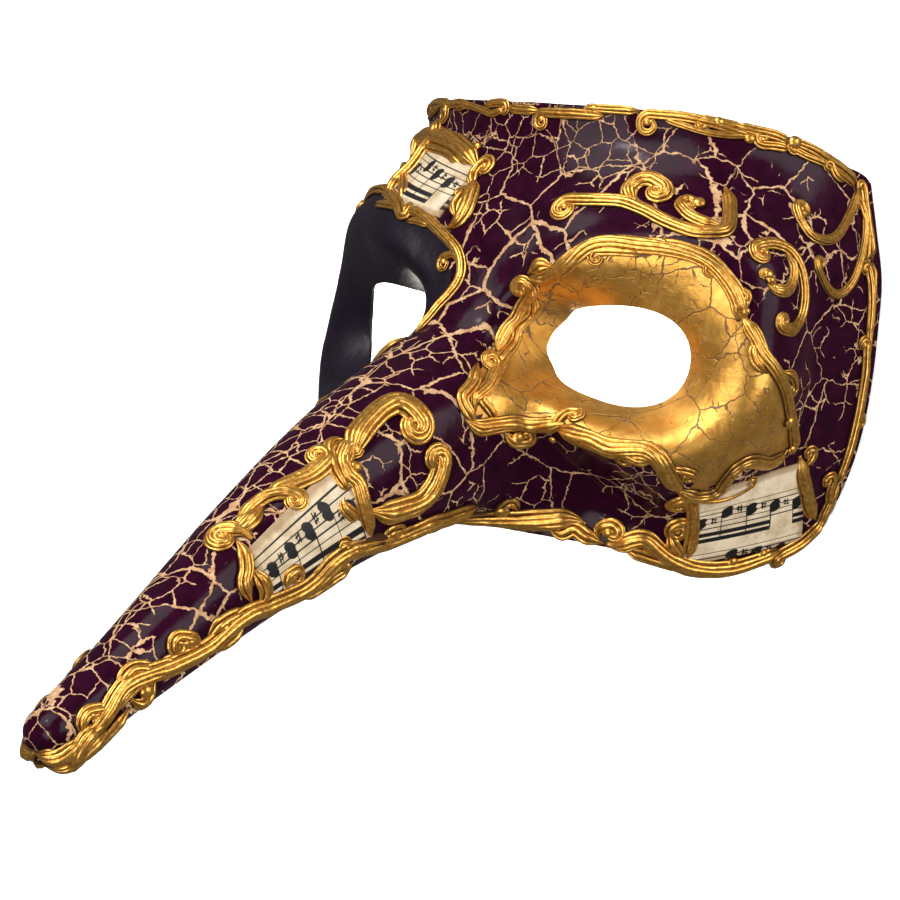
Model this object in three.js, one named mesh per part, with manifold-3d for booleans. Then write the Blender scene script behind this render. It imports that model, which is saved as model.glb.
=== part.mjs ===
// A long-nosed Venetian half mask, lying face up on the two side edges of its rim.
// One papier-mâché shell carries gilt relief of piped gesso and three patches of music paper.
// x runs to the wearer's left, y up the face from the pupils' level, z forward out of the face.
import * as THREE from 'three';
import Module from 'manifold-3d';

const wasm = await Module();
wasm.setup();

// Walls and clearances, in mm
const WALL_FACE = 3.0;
const WALL_NOSE = 2.2;
const GAP = 0.3;
const PAPER_THICKNESS = 0.5;

// The plain body of the face: height, depth forward of the rim's axis, half width
const FACE_ROWS = [
  [-75, 66, 54], [-50, 74, 66.5], [-25, 80, 77.2], [0, 85, 81.2],
  [25, 82, 80.2], [50, 68, 75.5], [72, 61, 71],
];
const FACE_SQUARENESS = 2.35;

// The nose: place forward, height, half width, half height, from the root to the tip
const NOSE_STATIONS = [
  [52, -6, 27, 31], [68, -14, 26, 28], [118, -36, 21.2, 22.3],
  [158, -59, 15.8, 16.5], [204, -90.5, 10, 10.3], [227, -106.3, 8, 8.2],
];
const NOSE_SQUARENESS = 2.4;
const NOSE_BLEND = 14;
const TIP_RADIUS = 8;

// The rim: turn from straight ahead in degrees, height of the edge; the sides lie in one plane
const RIM_TOP = [[0, 69.5], [45, 68.5], [70, 63.6], [91.6, 53.5]];
const RIM_BOTTOM = [
  [0, -52], [25, -53.5], [35, -55], [45, -58], [55, -60.5], [66, -59.8], [76, -57], [84, -52], [91.6, -42],
];
const RIM_TURN = 91.6;
const RIM_PLANE = -2.3;

// The eye hole, in mm along the face and up it, round a centre given by its turn and height
const EYE = {
  turn: 31, y: 0.6, noseSide: 21, templeSide: 24.1, halfHeight: 13.9,
  squareness: 2.5, tilt: -4, egg: 0.15, arc: 80,
};
// The hollow between the eye hole and the bridge, in the same measures
const HOLLOW = { depth: 10, u: -19, v: 2, width: 7.5, height: 12 };

// How finely the shell is faceted
const SEGMENTS = 54;
const NOSE_RINGS = 11;
const TIP_RINGS = [0.88, 0.5];
const FACE_RINGS = 11;
const TOP_STEPS = 9;
const SIDE_STEPS = 6;
const RELAX_PASSES = 40;
const EYE_FINENESS = 5;
const ROOT_MEAN = 60;
const ROOT_SLANT = 30;
const HOLE_SIDES = 28;

// The eye hole's edge: the lip's thickness, the flare behind it and how far in and out the cut runs
const HOLE_LIP = 1;
const HOLE_FLARE = 4;
const HOLE_NEAR = 48;
const HOLE_FAR = 118;

// Gilt ribbons, in mm
const RIBBON_SINK = 1.6;
const CLEARANCE_DEPTH = 4;
const BRAID = { width: 5.6, crown: 2.8, height: 2.3 };
const FRAME = { width: 5.0, crown: 2.4, height: 2.5 };
const SCROLL = { width: 4.2, crown: 2.0, height: 2.3 };
const FINE_STEP = 1.5;
const FACET_SEARCH = 6;
const LONGEST_STEP = 15;
const CHORD_ERROR = 0.6;
const BRAID_INSET = 3.8;

// Gilt lines on the face, as turn in degrees and height in mm, on the wearer's left
const EYE_FRAME = [
  [18, 22], [25, 27], [33, 31], [41, 33], [48.5, 29.5], [54, 18], [60, 4], [67, -10], [72, -23], [65, -28.5],
  [57, -34], [51, -36], [45, -29], [38, -22.5], [29, -18.5], [21, -20.5], [14, -21],
  [11.8, -13], [10, -2], [10.8, 5.5], [14, 13],
];
const CHEEK_POSTS = [
  [[50, -36], [47, -41], [49, -46], [48.5, -52.5]],
  [[72, -23], [75, -27], [79, -34], [81, -42], [81.5, -47]],
];
const BROW_STEM = [
  [24, 33], [19, 35.5], [18, 39], [21, 42.5], [28, 43], [34, 41.5],
  [39, 38.5], [45, 36.5], [51, 38], [53.5, 42], [53, 49],
];
const BROW_LEAF = [[36.5, 40.2], [40.5, 45], [39.5, 49.5], [35, 50], [32.5, 47]];
const BROW_CURL = [[52, 39.5], [48, 38.5], [44.5, 40.5], [44, 44], [47, 46]];
const TEMPLE_UPPER = [
  [86.5, 53], [84, 44.5], [79, 38], [74, 35.5], [69.5, 38], [68.5, 43], [71, 46.5], [74, 45], [73.5, 41],
];
const TEMPLE_LOWER = [[88, 49], [87.5, 40], [85, 31], [82, 24], [79, 20], [75, 21], [73, 26], [74.5, 29.5]];
const COMMA = [
  [56.5, 27], [59, 33], [63, 34.5], [67, 31.5], [70, 25],
  [70.5, 18], [68.5, 12], [65, 10], [62.5, 11.5], [62.5, 15.5],
];
const COMMA_INNER = [[65, 32], [66.5, 26], [64.5, 22], [61.5, 23], [60.5, 26]];

// Gilt lines on the wearer's right, where a music patch sits over the brow
const BROW_FRAME = [
  [-7.5, 49], [-15, 53.5], [-26, 57.5], [-38, 58.5], [-42, 51], [-39, 42], [-27, 39], [-14, 36.5],
];
const EYE_FRAME_RIGHT = [
  [-10, 33], [-18, 36.5], [-28, 39], [-39, 41], [-50, 40], [-59, 30], [-65, 16], [-69, 2], [-72, -10],
  [-72, -20], [-65, -27], [-55, -30], [-45, -27.5], [-38, -22.5], [-29, -18.5], [-21, -20.5], [-14, -21],
  [-11.8, -13], [-7.5, -2], [-4.8, 8], [-3.8, 18],
];

// Gilt lines on the nose, as mm along its axis and degrees about it from the wearer's left
const NOSE_BAND = [
  [60, -46], [68, -40], [77, -38], [85, -33], [94, -28], [103, -23], [112, -24], [121, -25], [130, -26],
  [137, -20], [146, -11], [154, -9], [162, 0], [173, 7], [181, 13], [189, 10],
  [198, -4], [203, -30], [205, -60], [205, -90],
];
const NOSE_FRAME = [
  [94, -26], [95, -5], [96, 20], [95.5, 40], [94, 57], [103, 52.5], [112, 49], [122, 53], [134, 57],
  [137, 36], [138.5, 12], [137, -6], [134, -22],
];
const NOSE_UPPER_SCROLL = [
  [92, 50], [88, 50], [83, 57], [75, 61], [69, 55], [66.5, 42], [68, 29], [71.5, 24], [73.5, 33],
];
const NOSE_LOWER_SCROLL = [
  [95, -8], [88, -13], [81, -18], [72, -19], [67, -12], [66, 0], [69.5, 10], [73, 5],
];

// Corners of the music paper, in the same measures
const CHEEK_PAPER = [[49.5, -36.5], [72, -24], [81, -46.5], [48.8, -54.5]];
const BROW_PAPER = [[-9, 50], [-39, 57.5], [-40, 42], [-12.5, 37.5]];
const NOSE_PAPER = [[95.5, 50], [134.5, 52], [137, -22], [95, -24]];

// Colours taken from the object
const PAINT = new THREE.Color(0.075, 0.02, 0.075);
const GILT = new THREE.Color(0.72, 0.46, 0.12);
const PAPER = new THREE.Color(0.78, 0.7, 0.52);

const rad = THREE.MathUtils.degToRad;
const deg = THREE.MathUtils.radToDeg;

// 0 below a, 1 above b, and a smooth rise between them
function rise(a, b, x) {
  return THREE.MathUtils.smoothstep(x, a, b);
}

function bump(x, width) {
  return Math.exp(-((x / width) ** 2));
}

// A table's columns at x, on smooth curves through its rows
function along(table, x) {
  const last = table.length - 1;
  const at = THREE.MathUtils.clamp(x, table[0][0], table[last][0]);
  let i = 0;
  while (i < last - 1 && at > table[i + 1][0]) {
    i += 1;
  }
  const slope = (k, column) => {
    const low = table[Math.max(k - 1, 0)];
    const high = table[Math.min(k + 1, last)];
    return (high[column] - low[column]) / (high[0] - low[0]);
  };
  const [a, b] = [table[i], table[i + 1]];
  const span = b[0] - a[0];
  const s = (at - a[0]) / span;
  return a.slice(1).map((value, index) => {
    const column = index + 1;
    const fromValues = (2 * s ** 3 - 3 * s ** 2 + 1) * value + (3 * s ** 2 - 2 * s ** 3) * b[column];
    const [leaving, arriving] = [span * slope(i, column), span * slope(i + 1, column)];
    return fromValues + (s ** 3 - 2 * s ** 2 + s) * leaving + (s ** 3 - s ** 2) * arriving;
  });
}

// A place near the eye: how far out it is, 1 on the hole's edge, and mm towards the temple and up
function eyePlace(turn, y) {
  const across = rad(Math.abs(turn) - EYE.turn) * EYE.arc;
  const up = y - EYE.y;
  const tilt = rad(EYE.tilt);
  const u = across * Math.cos(tilt) + up * Math.sin(tilt);
  const v = up * Math.cos(tilt) - across * Math.sin(tilt);
  const shareAcross = u / (u < 0 ? EYE.noseSide : EYE.templeSide);
  const egg = 1 + EYE.egg * THREE.MathUtils.clamp(shareAcross, -1, 1);
  const n = EYE.squareness;
  const rho = (Math.abs(shareAcross) ** n + Math.abs(v / (EYE.halfHeight * egg)) ** n) ** (1 / n);
  return { rho, u, v };
}

// How far the brow, the rolled lids, the tear corner and the cheek stand off the plain body
function modelling(turn, y) {
  const { rho, u, v } = eyePlace(turn, y);
  const side = Math.abs(turn);
  const round = Math.atan2(v * 1.4, u);
  const temple = rise(0.4, 0.9, 0.5 + 0.5 * Math.cos(round + rad(14)));
  const cheekbone = rise(0.6, 1, 0.5 + 0.5 * Math.cos(round + rad(50)));
  const top = rise(0.2, 1, Math.sin(round));
  const bottom = rise(0.2, 1, -Math.sin(round));
  const edge = -7 + 6.5 * Math.cos(round) + 2 * top + 3 * bottom;
  const crest = 4.5 + 9 * temple + 4 * cheekbone - 1.5 * top;
  const crestAt = 1.62 + 0.55 * top + 0.15 * bottom;
  const climb = THREE.MathUtils.clamp((rho - 1) / (crestAt - 1), -0.3, 1);
  const inner = edge + (crest - edge) * Math.sin((climb * Math.PI) / 2);
  const outer = crest * (1 - rise(0, 1, (rho - crestAt) / (0.85 + 0.3 * temple)));
  const lid = rho < crestAt ? inner : outer;
  const clearOfNose = rise(-36, -20, u);
  const socket = lid * clearOfNose + (1 - clearOfNose) * Math.min(lid, 0);
  const tearCorner = -6 * bump(u + 26, 9) * bump(v + 5, 10);
  const browHeight = 37 - 9 * rise(50, 92, side);
  const browShare = (0.45 + 0.55 * rise(8, 30, side)) * (1 - 0.75 * rise(58, 88, side));
  const brow = 6 * bump(y - browHeight, 14) * browShare;
  const flare = 2 * rise(58, 72, y);
  const cheekHollow = -5 * bump(side - 30, 10) * bump(y + 44, 11);
  return socket + tearCorner + brow + flare + cheekHollow;
}

// Signed distance, roughly, outside the modelled face
function faceField(x, y, z) {
  const [depth, half] = along(FACE_ROWS, y);
  const r = Math.hypot(x, z) + 1e-9;
  const n = FACE_SQUARENESS;
  const body = ((Math.abs(x) / r / half) ** n + (Math.abs(z) / r / depth) ** n) ** (-1 / n);
  return (r - body - modelling(deg(Math.atan2(x, z)), y)) * 0.85;
}

// The nose's axis as short straight pieces: forward, height, half width, half height
const stationRows = NOSE_STATIONS.map((station) => [0, ...station]);
for (let i = 1; i < stationRows.length; i += 1) {
  const [distance, forward, height] = stationRows[i - 1];
  stationRows[i][0] = distance + Math.hypot(stationRows[i][1] - forward, stationRows[i][2] - height);
}
const NOSE_LENGTH = stationRows[stationRows.length - 1][0];
const AXIS_POINTS = 50;
const noseAxis = [];
for (let i = 0; i < AXIS_POINTS; i += 1) {
  noseAxis.push(along(stationRows, (NOSE_LENGTH * i) / (AXIS_POINTS - 1)));
}

// Signed distance, roughly, outside the nose
function noseField(x, y, z) {
  let best = Infinity;
  let [width, height, off, over] = [0, 0, 0, 0];
  for (let i = 0; i < noseAxis.length - 1; i += 1) {
    const [a, b] = [noseAxis[i], noseAxis[i + 1]];
    const [forward, up] = [b[0] - a[0], b[1] - a[1]];
    const length = Math.hypot(forward, up);
    const s = THREE.MathUtils.clamp(((z - a[0]) * forward + (y - a[1]) * up) / length ** 2, 0, 1);
    const dz = z - a[0] - s * forward;
    const dy = y - a[1] - s * up;
    const distance = dz * dz + dy * dy;
    if (distance < best) {
      best = distance;
      width = a[2] + s * (b[2] - a[2]);
      height = a[3] + s * (b[3] - a[3]);
      off = (dy * forward - dz * up) / length;
      over = (dz * forward + dy * up) / length;
    }
  }
  const n = NOSE_SQUARENESS;
  const cap = 0.5 * (width + height);
  const e = (Math.abs(x / width) ** n + Math.abs(off / height) ** n + Math.abs(over / cap) ** n) ** (1 / n);
  return (e - 1) * Math.min(width, height) * 0.9;
}

// The outer skin of the whole mask: face and nose run into each other, with a hollow beside the bridge
function skinField(p) {
  const face = faceField(p.x, p.y, p.z);
  const nose = noseField(p.x, p.y, p.z);
  const mix = THREE.MathUtils.clamp(0.5 + (0.5 * (nose - face)) / NOSE_BLEND, 0, 1);
  const blended = nose * (1 - mix) + face * mix - NOSE_BLEND * mix * (1 - mix);
  const { u, v } = eyePlace(deg(Math.atan2(p.x, p.z)), p.y);
  return blended + HOLLOW.depth * bump(u - HOLLOW.u, HOLLOW.width) * bump(v - HOLLOW.v, HOLLOW.height);
}

function gradient(p) {
  const step = 0.05;
  const g = new THREE.Vector3();
  for (const axis of ['x', 'y', 'z']) {
    const high = p.clone();
    const low = p.clone();
    high[axis] += step;
    low[axis] -= step;
    g[axis] = (skinField(high) - skinField(low)) / (2 * step);
  }
  return g;
}

function normalAt(p) {
  return gradient(p).normalize();
}

// The point moved on to the skin, straight up or down its slope
function onSkin(p) {
  const moved = p.clone();
  for (let i = 0; i < 4; i += 1) {
    const g = gradient(moved);
    moved.addScaledVector(g, -skinField(moved) / Math.max(g.lengthSq(), 0.05));
  }
  return moved;
}

// The first crossing of the skin from the seed outwards
function reach(seed, direction, start) {
  const at = (r) => seed.clone().addScaledVector(direction, r);
  let inside = start;
  while (skinField(at(inside + 1)) < 0) {
    inside += 1;
  }
  let outside = inside + 1;
  for (let i = 0; i < 14; i += 1) {
    const middle = 0.5 * (inside + outside);
    if (skinField(at(middle)) < 0) {
      inside = middle;
    } else {
      outside = middle;
    }
  }
  return at(inside);
}

// A point of the face's skin from its turn and height
function facePoint([turn, y]) {
  const direction = new THREE.Vector3(Math.sin(rad(turn)), 0, Math.cos(rad(turn)));
  return reach(new THREE.Vector3(0, y, 0), direction, 30);
}

// The nose's axis at a distance along it: a seed and the directions forward and up from it
function noseFrame(distance) {
  const [z, y] = along(stationRows, distance);
  const [zBehind, yBehind] = along(stationRows, distance - 1);
  const [zAhead, yAhead] = along(stationRows, Math.min(distance + 1, NOSE_LENGTH));
  const forward = new THREE.Vector3(0, yAhead - yBehind, zAhead - zBehind).normalize();
  const up = new THREE.Vector3(0, forward.z, -forward.y);
  return { seed: new THREE.Vector3(0, y, z), forward, up };
}

// A point of the nose's skin from its distance along the axis and its angle about it.
// Past the axis's end the distance runs on over the round tip.
function nosePoint([distance, angle]) {
  const { seed, forward, up } = noseFrame(Math.min(distance, NOSE_LENGTH));
  const over = THREE.MathUtils.clamp((distance - NOSE_LENGTH) / TIP_RADIUS, 0, 1);
  const tilt = Math.asin(over);
  const direction = new THREE.Vector3(Math.cos(rad(angle)), 0, 0).addScaledVector(up, Math.sin(rad(angle)));
  direction.multiplyScalar(Math.cos(tilt)).addScaledVector(forward, Math.sin(tilt));
  return reach(seed, direction, 1);
}

// The rim's outline on the wearer's left, from the top centre at 0 to the bottom centre at half the segments
function rimPoint(step) {
  const half = SEGMENTS / 2;
  const k = step <= half ? step : SEGMENTS - step;
  const bottomSteps = half - TOP_STEPS - SIDE_STEPS;
  let point;
  if (k < TOP_STEPS) {
    const turn = (RIM_TURN * k) / TOP_STEPS;
    point = facePoint([turn, along(RIM_TOP, turn)[0]]);
  } else if (k > half - bottomSteps) {
    const turn = (RIM_TURN * (half - k)) / bottomSteps;
    point = facePoint([turn, along(RIM_BOTTOM, turn)[0]]);
  } else {
    const top = along(RIM_TOP, RIM_TURN)[0];
    const bottom = along(RIM_BOTTOM, RIM_TURN)[0];
    const y = top + ((bottom - top) * (k - TOP_STEPS)) / SIDE_STEPS;
    point = reach(new THREE.Vector3(0, y, RIM_PLANE), new THREE.Vector3(1, 0, 0), 30);
  }
  if (step > half) {
    point.x *= -1;
  }
  return point;
}

function onSideEdge(step) {
  const k = step <= SEGMENTS / 2 ? step : SEGMENTS - step;
  return k >= TOP_STEPS && k <= TOP_STEPS + SIDE_STEPS;
}

// Rings of skin points from the nose's tip to the rim, the nose's with half as many points
function skinRings() {
  const rings = [[nosePoint([NOSE_LENGTH + TIP_RADIUS, 0])]];
  const angleAt = (step, count) => 90 - (360 * step) / count;
  const half = SEGMENTS / 2;
  for (const share of TIP_RINGS) {
    const distance = NOSE_LENGTH + TIP_RADIUS * share;
    rings.push(Array.from({ length: half }, (_, i) => nosePoint([distance, angleAt(i, half)])));
  }
  const root = (angle) => ROOT_MEAN - ROOT_SLANT * Math.sin(rad(angle));
  for (let k = 0; k < NOSE_RINGS; k += 1) {
    const share = k / NOSE_RINGS;
    rings.push(Array.from({ length: half }, (_, i) => {
      const angle = angleAt(i, half);
      return nosePoint([NOSE_LENGTH + (root(angle) - NOSE_LENGTH) * share, angle]);
    }));
  }
  const inner = Array.from({ length: SEGMENTS }, (_, i) => {
    const angle = angleAt(i, SEGMENTS);
    return nosePoint([root(angle), angle]);
  });
  const rim = Array.from({ length: SEGMENTS }, (_, i) => rimPoint(i));
  rings.push(inner, ...faceRings(inner, rim), rim);
  return rings;
}

// How much closer together the facets are drawn round the eyes
function fineness(p) {
  const turn = Math.abs(deg(Math.atan2(p.x, p.z)));
  return 1 + EYE_FINENESS * bump(turn - EYE.turn - 3, 26) * bump(p.y + 2, 26);
}

// The rings between the nose's root and the rim, spread out by relaxing them on the skin
function faceRings(inner, rim) {
  const rings = [inner];
  for (let k = 1; k < FACE_RINGS; k += 1) {
    rings.push(inner.map((from, i) => {
      const to = rim[i];
      const share = k / FACE_RINGS;
      const r = THREE.MathUtils.lerp(Math.hypot(from.x, from.z), Math.hypot(to.x, to.z), share);
      const turn = THREE.MathUtils.lerp(Math.atan2(from.x, from.z), Math.atan2(to.x, to.z), share);
      const y = THREE.MathUtils.lerp(from.y, to.y, share);
      return onSkin(new THREE.Vector3(r * Math.sin(turn), y, r * Math.cos(turn)));
    }));
  }
  rings.push(rim);
  for (let pass = 0; pass < RELAX_PASSES; pass += 1) {
    for (let k = 1; k < FACE_RINGS; k += 1) {
      rings[k] = rings[k].map((point, i) => {
        const [left, right] = [rings[k][(i + 1) % SEGMENTS], rings[k][(i + SEGMENTS - 1) % SEGMENTS]];
        const around = [left, right, rings[k - 1][i], rings[k + 1][i]];
        const middle = new THREE.Vector3();
        let total = 0;
        for (const neighbour of around) {
          const pull = fineness(neighbour.clone().lerp(point, 0.5));
          middle.addScaledVector(neighbour, pull);
          total += pull;
        }
        return onSkin(middle.divideScalar(total).lerp(point, 0.3));
      });
    }
  }
  return rings.slice(1, -1);
}

// Triangles between two rings of the same count, or of one to two
function bandTriangles(from, fromCount, to, toCount) {
  const triangles = [];
  for (let i = 0; i < fromCount; i += 1) {
    const a = from + i;
    const b = from + ((i + 1) % fromCount);
    if (toCount === fromCount) {
      const [c, d] = [to + i, to + ((i + 1) % toCount)];
      triangles.push([a, c, d], [a, d, b]);
    } else {
      const [c, d, e] = [to + 2 * i, to + 2 * i + 1, to + ((2 * i + 2) % toCount)];
      triangles.push([a, c, d], [a, d, b], [b, d, e]);
    }
  }
  return triangles;
}

function sheetTriangles(rings) {
  const triangles = [];
  const tipCount = rings[1].length;
  for (let i = 0; i < tipCount; i += 1) {
    triangles.push([0, 1 + i, 1 + ((i + 1) % tipCount)]);
  }
  let start = 1;
  for (let k = 1; k < rings.length - 1; k += 1) {
    const next = start + rings[k].length;
    triangles.push(...bandTriangles(start, rings[k].length, next, rings[k + 1].length));
    start = next;
  }
  return triangles;
}

// A closed body from its points and triangles, turned right side out
function body(points, triangles) {
  let volume = 0;
  for (const [a, b, c] of triangles) {
    volume += points[a].dot(points[b].clone().cross(points[c]));
  }
  const turned = volume < 0 ? triangles.map(([a, b, c]) => [a, c, b]) : triangles;
  return new wasm.Manifold(new wasm.Mesh({
    numProp: 3,
    vertProperties: new Float32Array(points.flatMap((p) => [p.x, p.y, p.z])),
    triVerts: new Uint32Array(turned.flat()),
  }));
}

// The skin's points moved out by a distance; the side edges stay in the rim's plane
function offsetPoints(rings, offset) {
  const flat = rings.flat();
  const rimStart = flat.length - SEGMENTS;
  return flat.map((point, i) => {
    const normal = normalAt(point);
    if (i >= rimStart && onSideEdge(i - rimStart)) {
      normal.z = 0;
      normal.normalize();
    }
    return point.clone().addScaledVector(normal, offset(point));
  });
}

// The papier-mâché: the skin and its inside, joined round the rim
function shellBody(rings) {
  const triangles = sheetTriangles(rings);
  const outer = rings.flat();
  const inner = offsetPoints(rings, (point) => -wallAt(point));
  const count = outer.length;
  const rimStart = count - SEGMENTS;
  const all = [...triangles, ...triangles.map(([a, b, c]) => [a + count, c + count, b + count])];
  for (let i = 0; i < SEGMENTS; i += 1) {
    const a = rimStart + i;
    const b = rimStart + ((i + 1) % SEGMENTS);
    all.push([a, a + count, b + count], [a, b + count, b]);
  }
  return body([...outer, ...inner], all);
}

// Everything within the skin and a gap outside it, which applied relief is cut clear of
function clearanceBody(rings) {
  const [beforeRim, rim] = rings.slice(-2);
  const outside = offsetPoints(rings, () => GAP);
  const edge = offsetPoints([rim], () => -CLEARANCE_DEPTH);
  const edgeStart = outside.length;
  rim.forEach((point, i) => {
    const beyond = point.clone().sub(beforeRim[i]).setLength(2 * GAP);
    outside[edgeStart - SEGMENTS + i].add(beyond);
    edge[i].add(beyond);
  });
  const points = [...outside, ...edge, new THREE.Vector3(0, 0, RIM_PLANE)];
  const triangles = sheetTriangles(rings);
  triangles.push(...bandTriangles(edgeStart - SEGMENTS, SEGMENTS, edgeStart, SEGMENTS));
  for (let i = 0; i < SEGMENTS; i += 1) {
    triangles.push([edgeStart + i, points.length - 1, edgeStart + ((i + 1) % SEGMENTS)]);
  }
  return body(points, triangles);
}

// The wall thins from the face to the nose
function wallAt(point) {
  return THREE.MathUtils.lerp(WALL_FACE, WALL_NOSE, rise(90, 125, point.z));
}

// A plug with the eye hole's outline, flared behind the skin towards the temple to thin the wall there
function eyeCutter(side) {
  const tilt = rad(EYE.tilt);
  const squared = (share) => Math.sign(share) * Math.abs(share) ** (2 / EYE.squareness);
  const outline = (spread) => Array.from({ length: HOLE_SIDES }, (_, i) => {
    const angle = (2 * Math.PI * i) / HOLE_SIDES;
    const flare = spread * rise(-0.2, 0.6, Math.cos(angle));
    const shareAcross = squared(Math.cos(angle));
    const u = ((shareAcross < 0 ? EYE.noseSide : EYE.templeSide) + flare) * shareAcross;
    const v = (EYE.halfHeight + flare) * (1 + EYE.egg * shareAcross) * squared(Math.sin(angle));
    const turn = side * (EYE.turn + deg((u * Math.cos(tilt) - v * Math.sin(tilt)) / EYE.arc));
    return [turn, EYE.y + u * Math.sin(tilt) + v * Math.cos(tilt)];
  });
  const edge = outline(0).map(facePoint);
  const ring = (places, radiusAt) => places.map(([turn, y], i) => {
    const r = radiusAt(edge[i]);
    return new THREE.Vector3(r * Math.sin(rad(turn)), y, r * Math.cos(rad(turn)));
  });
  const radius = (point) => Math.hypot(point.x, point.z);
  return loft([
    ring(outline(HOLE_FLARE), () => HOLE_NEAR),
    ring(outline(HOLE_FLARE), (point) => radius(point) - HOLE_LIP - HOLE_FLARE),
    ring(outline(0), (point) => radius(point) - HOLE_LIP),
    ring(outline(0), () => HOLE_FAR),
  ], false);
}

// A closed body through sections of the same count, with fans at its ends unless it closes on itself
function loft(sections, closed) {
  const count = sections[0].length;
  const points = sections.flat();
  const triangles = [];
  const spans = closed ? sections.length : sections.length - 1;
  for (let k = 0; k < spans; k += 1) {
    const next = (k + 1) % sections.length;
    triangles.push(...bandTriangles(k * count, count, next * count, count));
  }
  if (!closed) {
    const last = (sections.length - 1) * count;
    for (let i = 1; i < count - 1; i += 1) {
      triangles.push([0, i, i + 1], [last, last + i + 1, last + i]);
    }
  }
  return body(points, triangles);
}

// Points along a smooth line drawn on the skin, close together only where it bends
function skinPath(place, controls, closed) {
  const curve = new THREE.CatmullRomCurve3(controls.map(([a, b]) => new THREE.Vector3(a, b, 0)), closed);
  const marks = curve.getPoints(controls.length * 6).map((c) => place([c.x, c.y]));
  const line = new THREE.CurvePath();
  for (let i = 0; i < marks.length - 1; i += 1) {
    line.add(new THREE.LineCurve3(marks[i], marks[i + 1]));
  }
  const dense = line.getSpacedPoints(Math.ceil(line.getLength() / FINE_STEP));
  return thinned(dense.map((point) => onFacets(onSkin(point))), closed);
}

// The place on the faceted shell that a point of the skin stands for
function onFacets(point) {
  const outward = normalAt(point);
  const start = point.clone().addScaledVector(outward, FACET_SEARCH);
  const [hit] = new THREE.Raycaster(start, outward.negate()).intersectObject(facetedShell);
  return hit.point;
}

// As few of the points as keep every chord close to the line
function thinned(dense, closed) {
  const kept = [dense[0]];
  let from = 0;
  const chord = new THREE.Line3();
  const nearest = new THREE.Vector3();
  for (let i = 2; i < dense.length; i += 1) {
    chord.set(dense[from], dense[i]);
    const strays = dense.slice(from + 1, i).some((point) => {
      return chord.closestPointToPoint(point, true, nearest).distanceTo(point) > CHORD_ERROR;
    });
    if (strays || chord.distance() > LONGEST_STEP) {
      from = i - 1;
      kept.push(dense[from]);
    }
  }
  if (!closed) {
    kept.push(dense[dense.length - 1]);
  }
  return kept;
}

// A ribbon with a flat crown, laid along points of the skin and sunk into it, with room added round it
function ribbon({ points, section, closed }, room) {
  const count = points.length;
  const width = section.width + 2 * room;
  const crown = section.crown + 2 * room;
  const height = section.height + room;
  const sections = points.map((point, i) => {
    const ahead = points[closed ? (i + 1) % count : Math.min(i + 1, count - 1)];
    const behind = points[closed ? (i + count - 1) % count : Math.max(i - 1, 0)];
    const normal = normalAt(point);
    const side = normal.clone().cross(ahead.clone().sub(behind)).normalize();
    const offset = (across, up) => point.clone().addScaledVector(side, across).addScaledVector(normal, up);
    return [
      offset(-width / 2, -RIBBON_SINK), offset(width / 2, -RIBBON_SINK),
      offset(crown / 2, height), offset(-crown / 2, height),
    ];
  });
  return loft(sections, closed);
}

// The ribbons of one node as one solid
function piped(lines, room = 0) {
  return lines.map((line) => ribbon(line, room)).reduce((whole, next) => whole.add(next));
}

function mirrored(lines) {
  return lines.map(([turn, y]) => [-turn, y]);
}

// Music paper laid on the skin between four corners
function paperBody(place, corners, across, down) {
  const [a, b, c, d] = corners.map(([u, v]) => new THREE.Vector2(u, v));
  const levels = [-RIBBON_SINK, GAP + PAPER_THICKNESS];
  const points = [];
  for (const level of levels) {
    for (let j = 0; j <= down; j += 1) {
      for (let i = 0; i <= across; i += 1) {
        const upper = a.clone().lerp(b, i / across);
        const lower = d.clone().lerp(c, i / across);
        const { x, y } = upper.lerp(lower, j / down);
        const point = onFacets(place([x, y]));
        points.push(point.addScaledVector(normalAt(point), level));
      }
    }
  }
  const row = across + 1;
  const sheet = row * (down + 1);
  const triangles = [];
  for (let j = 0; j < down; j += 1) {
    for (let i = 0; i < across; i += 1) {
      const p = j * row + i;
      const q = p + sheet;
      triangles.push([p, p + row, p + row + 1], [p, p + row + 1, p + 1]);
      triangles.push([q, q + row + 1, q + row], [q, q + 1, q + row + 1]);
    }
  }
  const run = (count, at) => Array.from({ length: count }, (_, k) => at(k));
  const border = [
    ...run(across, (i) => i),
    ...run(down, (j) => j * row + across),
    ...run(across, (i) => down * row + across - i),
    ...run(down, (j) => (down - j) * row),
  ];
  border.forEach((p, i) => {
    const q = border[(i + 1) % border.length];
    triangles.push([p, q, q + sheet], [p, q + sheet, p + sheet]);
  });
  return body(points, triangles);
}

// The triangles of the largest connected body, without the crumbs that a cut leaves
function largestBody(triVerts) {
  const parent = new Map();
  const root = (v) => {
    let at = v;
    while (parent.has(at) && parent.get(at) !== at) {
      at = parent.get(at);
    }
    return at;
  };
  const triangles = [];
  for (let i = 0; i < triVerts.length; i += 3) {
    const corners = [...triVerts.slice(i, i + 3)];
    const first = root(corners[0]);
    corners.forEach((corner) => parent.set(root(corner), first));
    parent.set(first, first);
    triangles.push(corners);
  }
  const groups = new Map();
  for (const corners of triangles) {
    const key = root(corners[0]);
    groups.set(key, [...(groups.get(key) ?? []), corners]);
  }
  return [...groups.values()].reduce((largest, group) => (group.length > largest.length ? group : largest));
}

function meshOf(name, solid, material) {
  const { vertProperties, triVerts } = solid.getMesh();
  const triangles = largestBody(triVerts);
  const used = new Map();
  const positions = [];
  for (const corner of triangles.flat()) {
    if (!used.has(corner)) {
      used.set(corner, used.size);
      positions.push(...vertProperties.slice(corner * 3, corner * 3 + 3));
    }
  }
  const geometry = new THREE.BufferGeometry();
  geometry.setAttribute('position', new THREE.Float32BufferAttribute(positions, 3));
  geometry.setIndex(triangles.flat().map((corner) => used.get(corner)));
  const mesh = new THREE.Mesh(geometry, material);
  mesh.name = name;
  return mesh;
}

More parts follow.
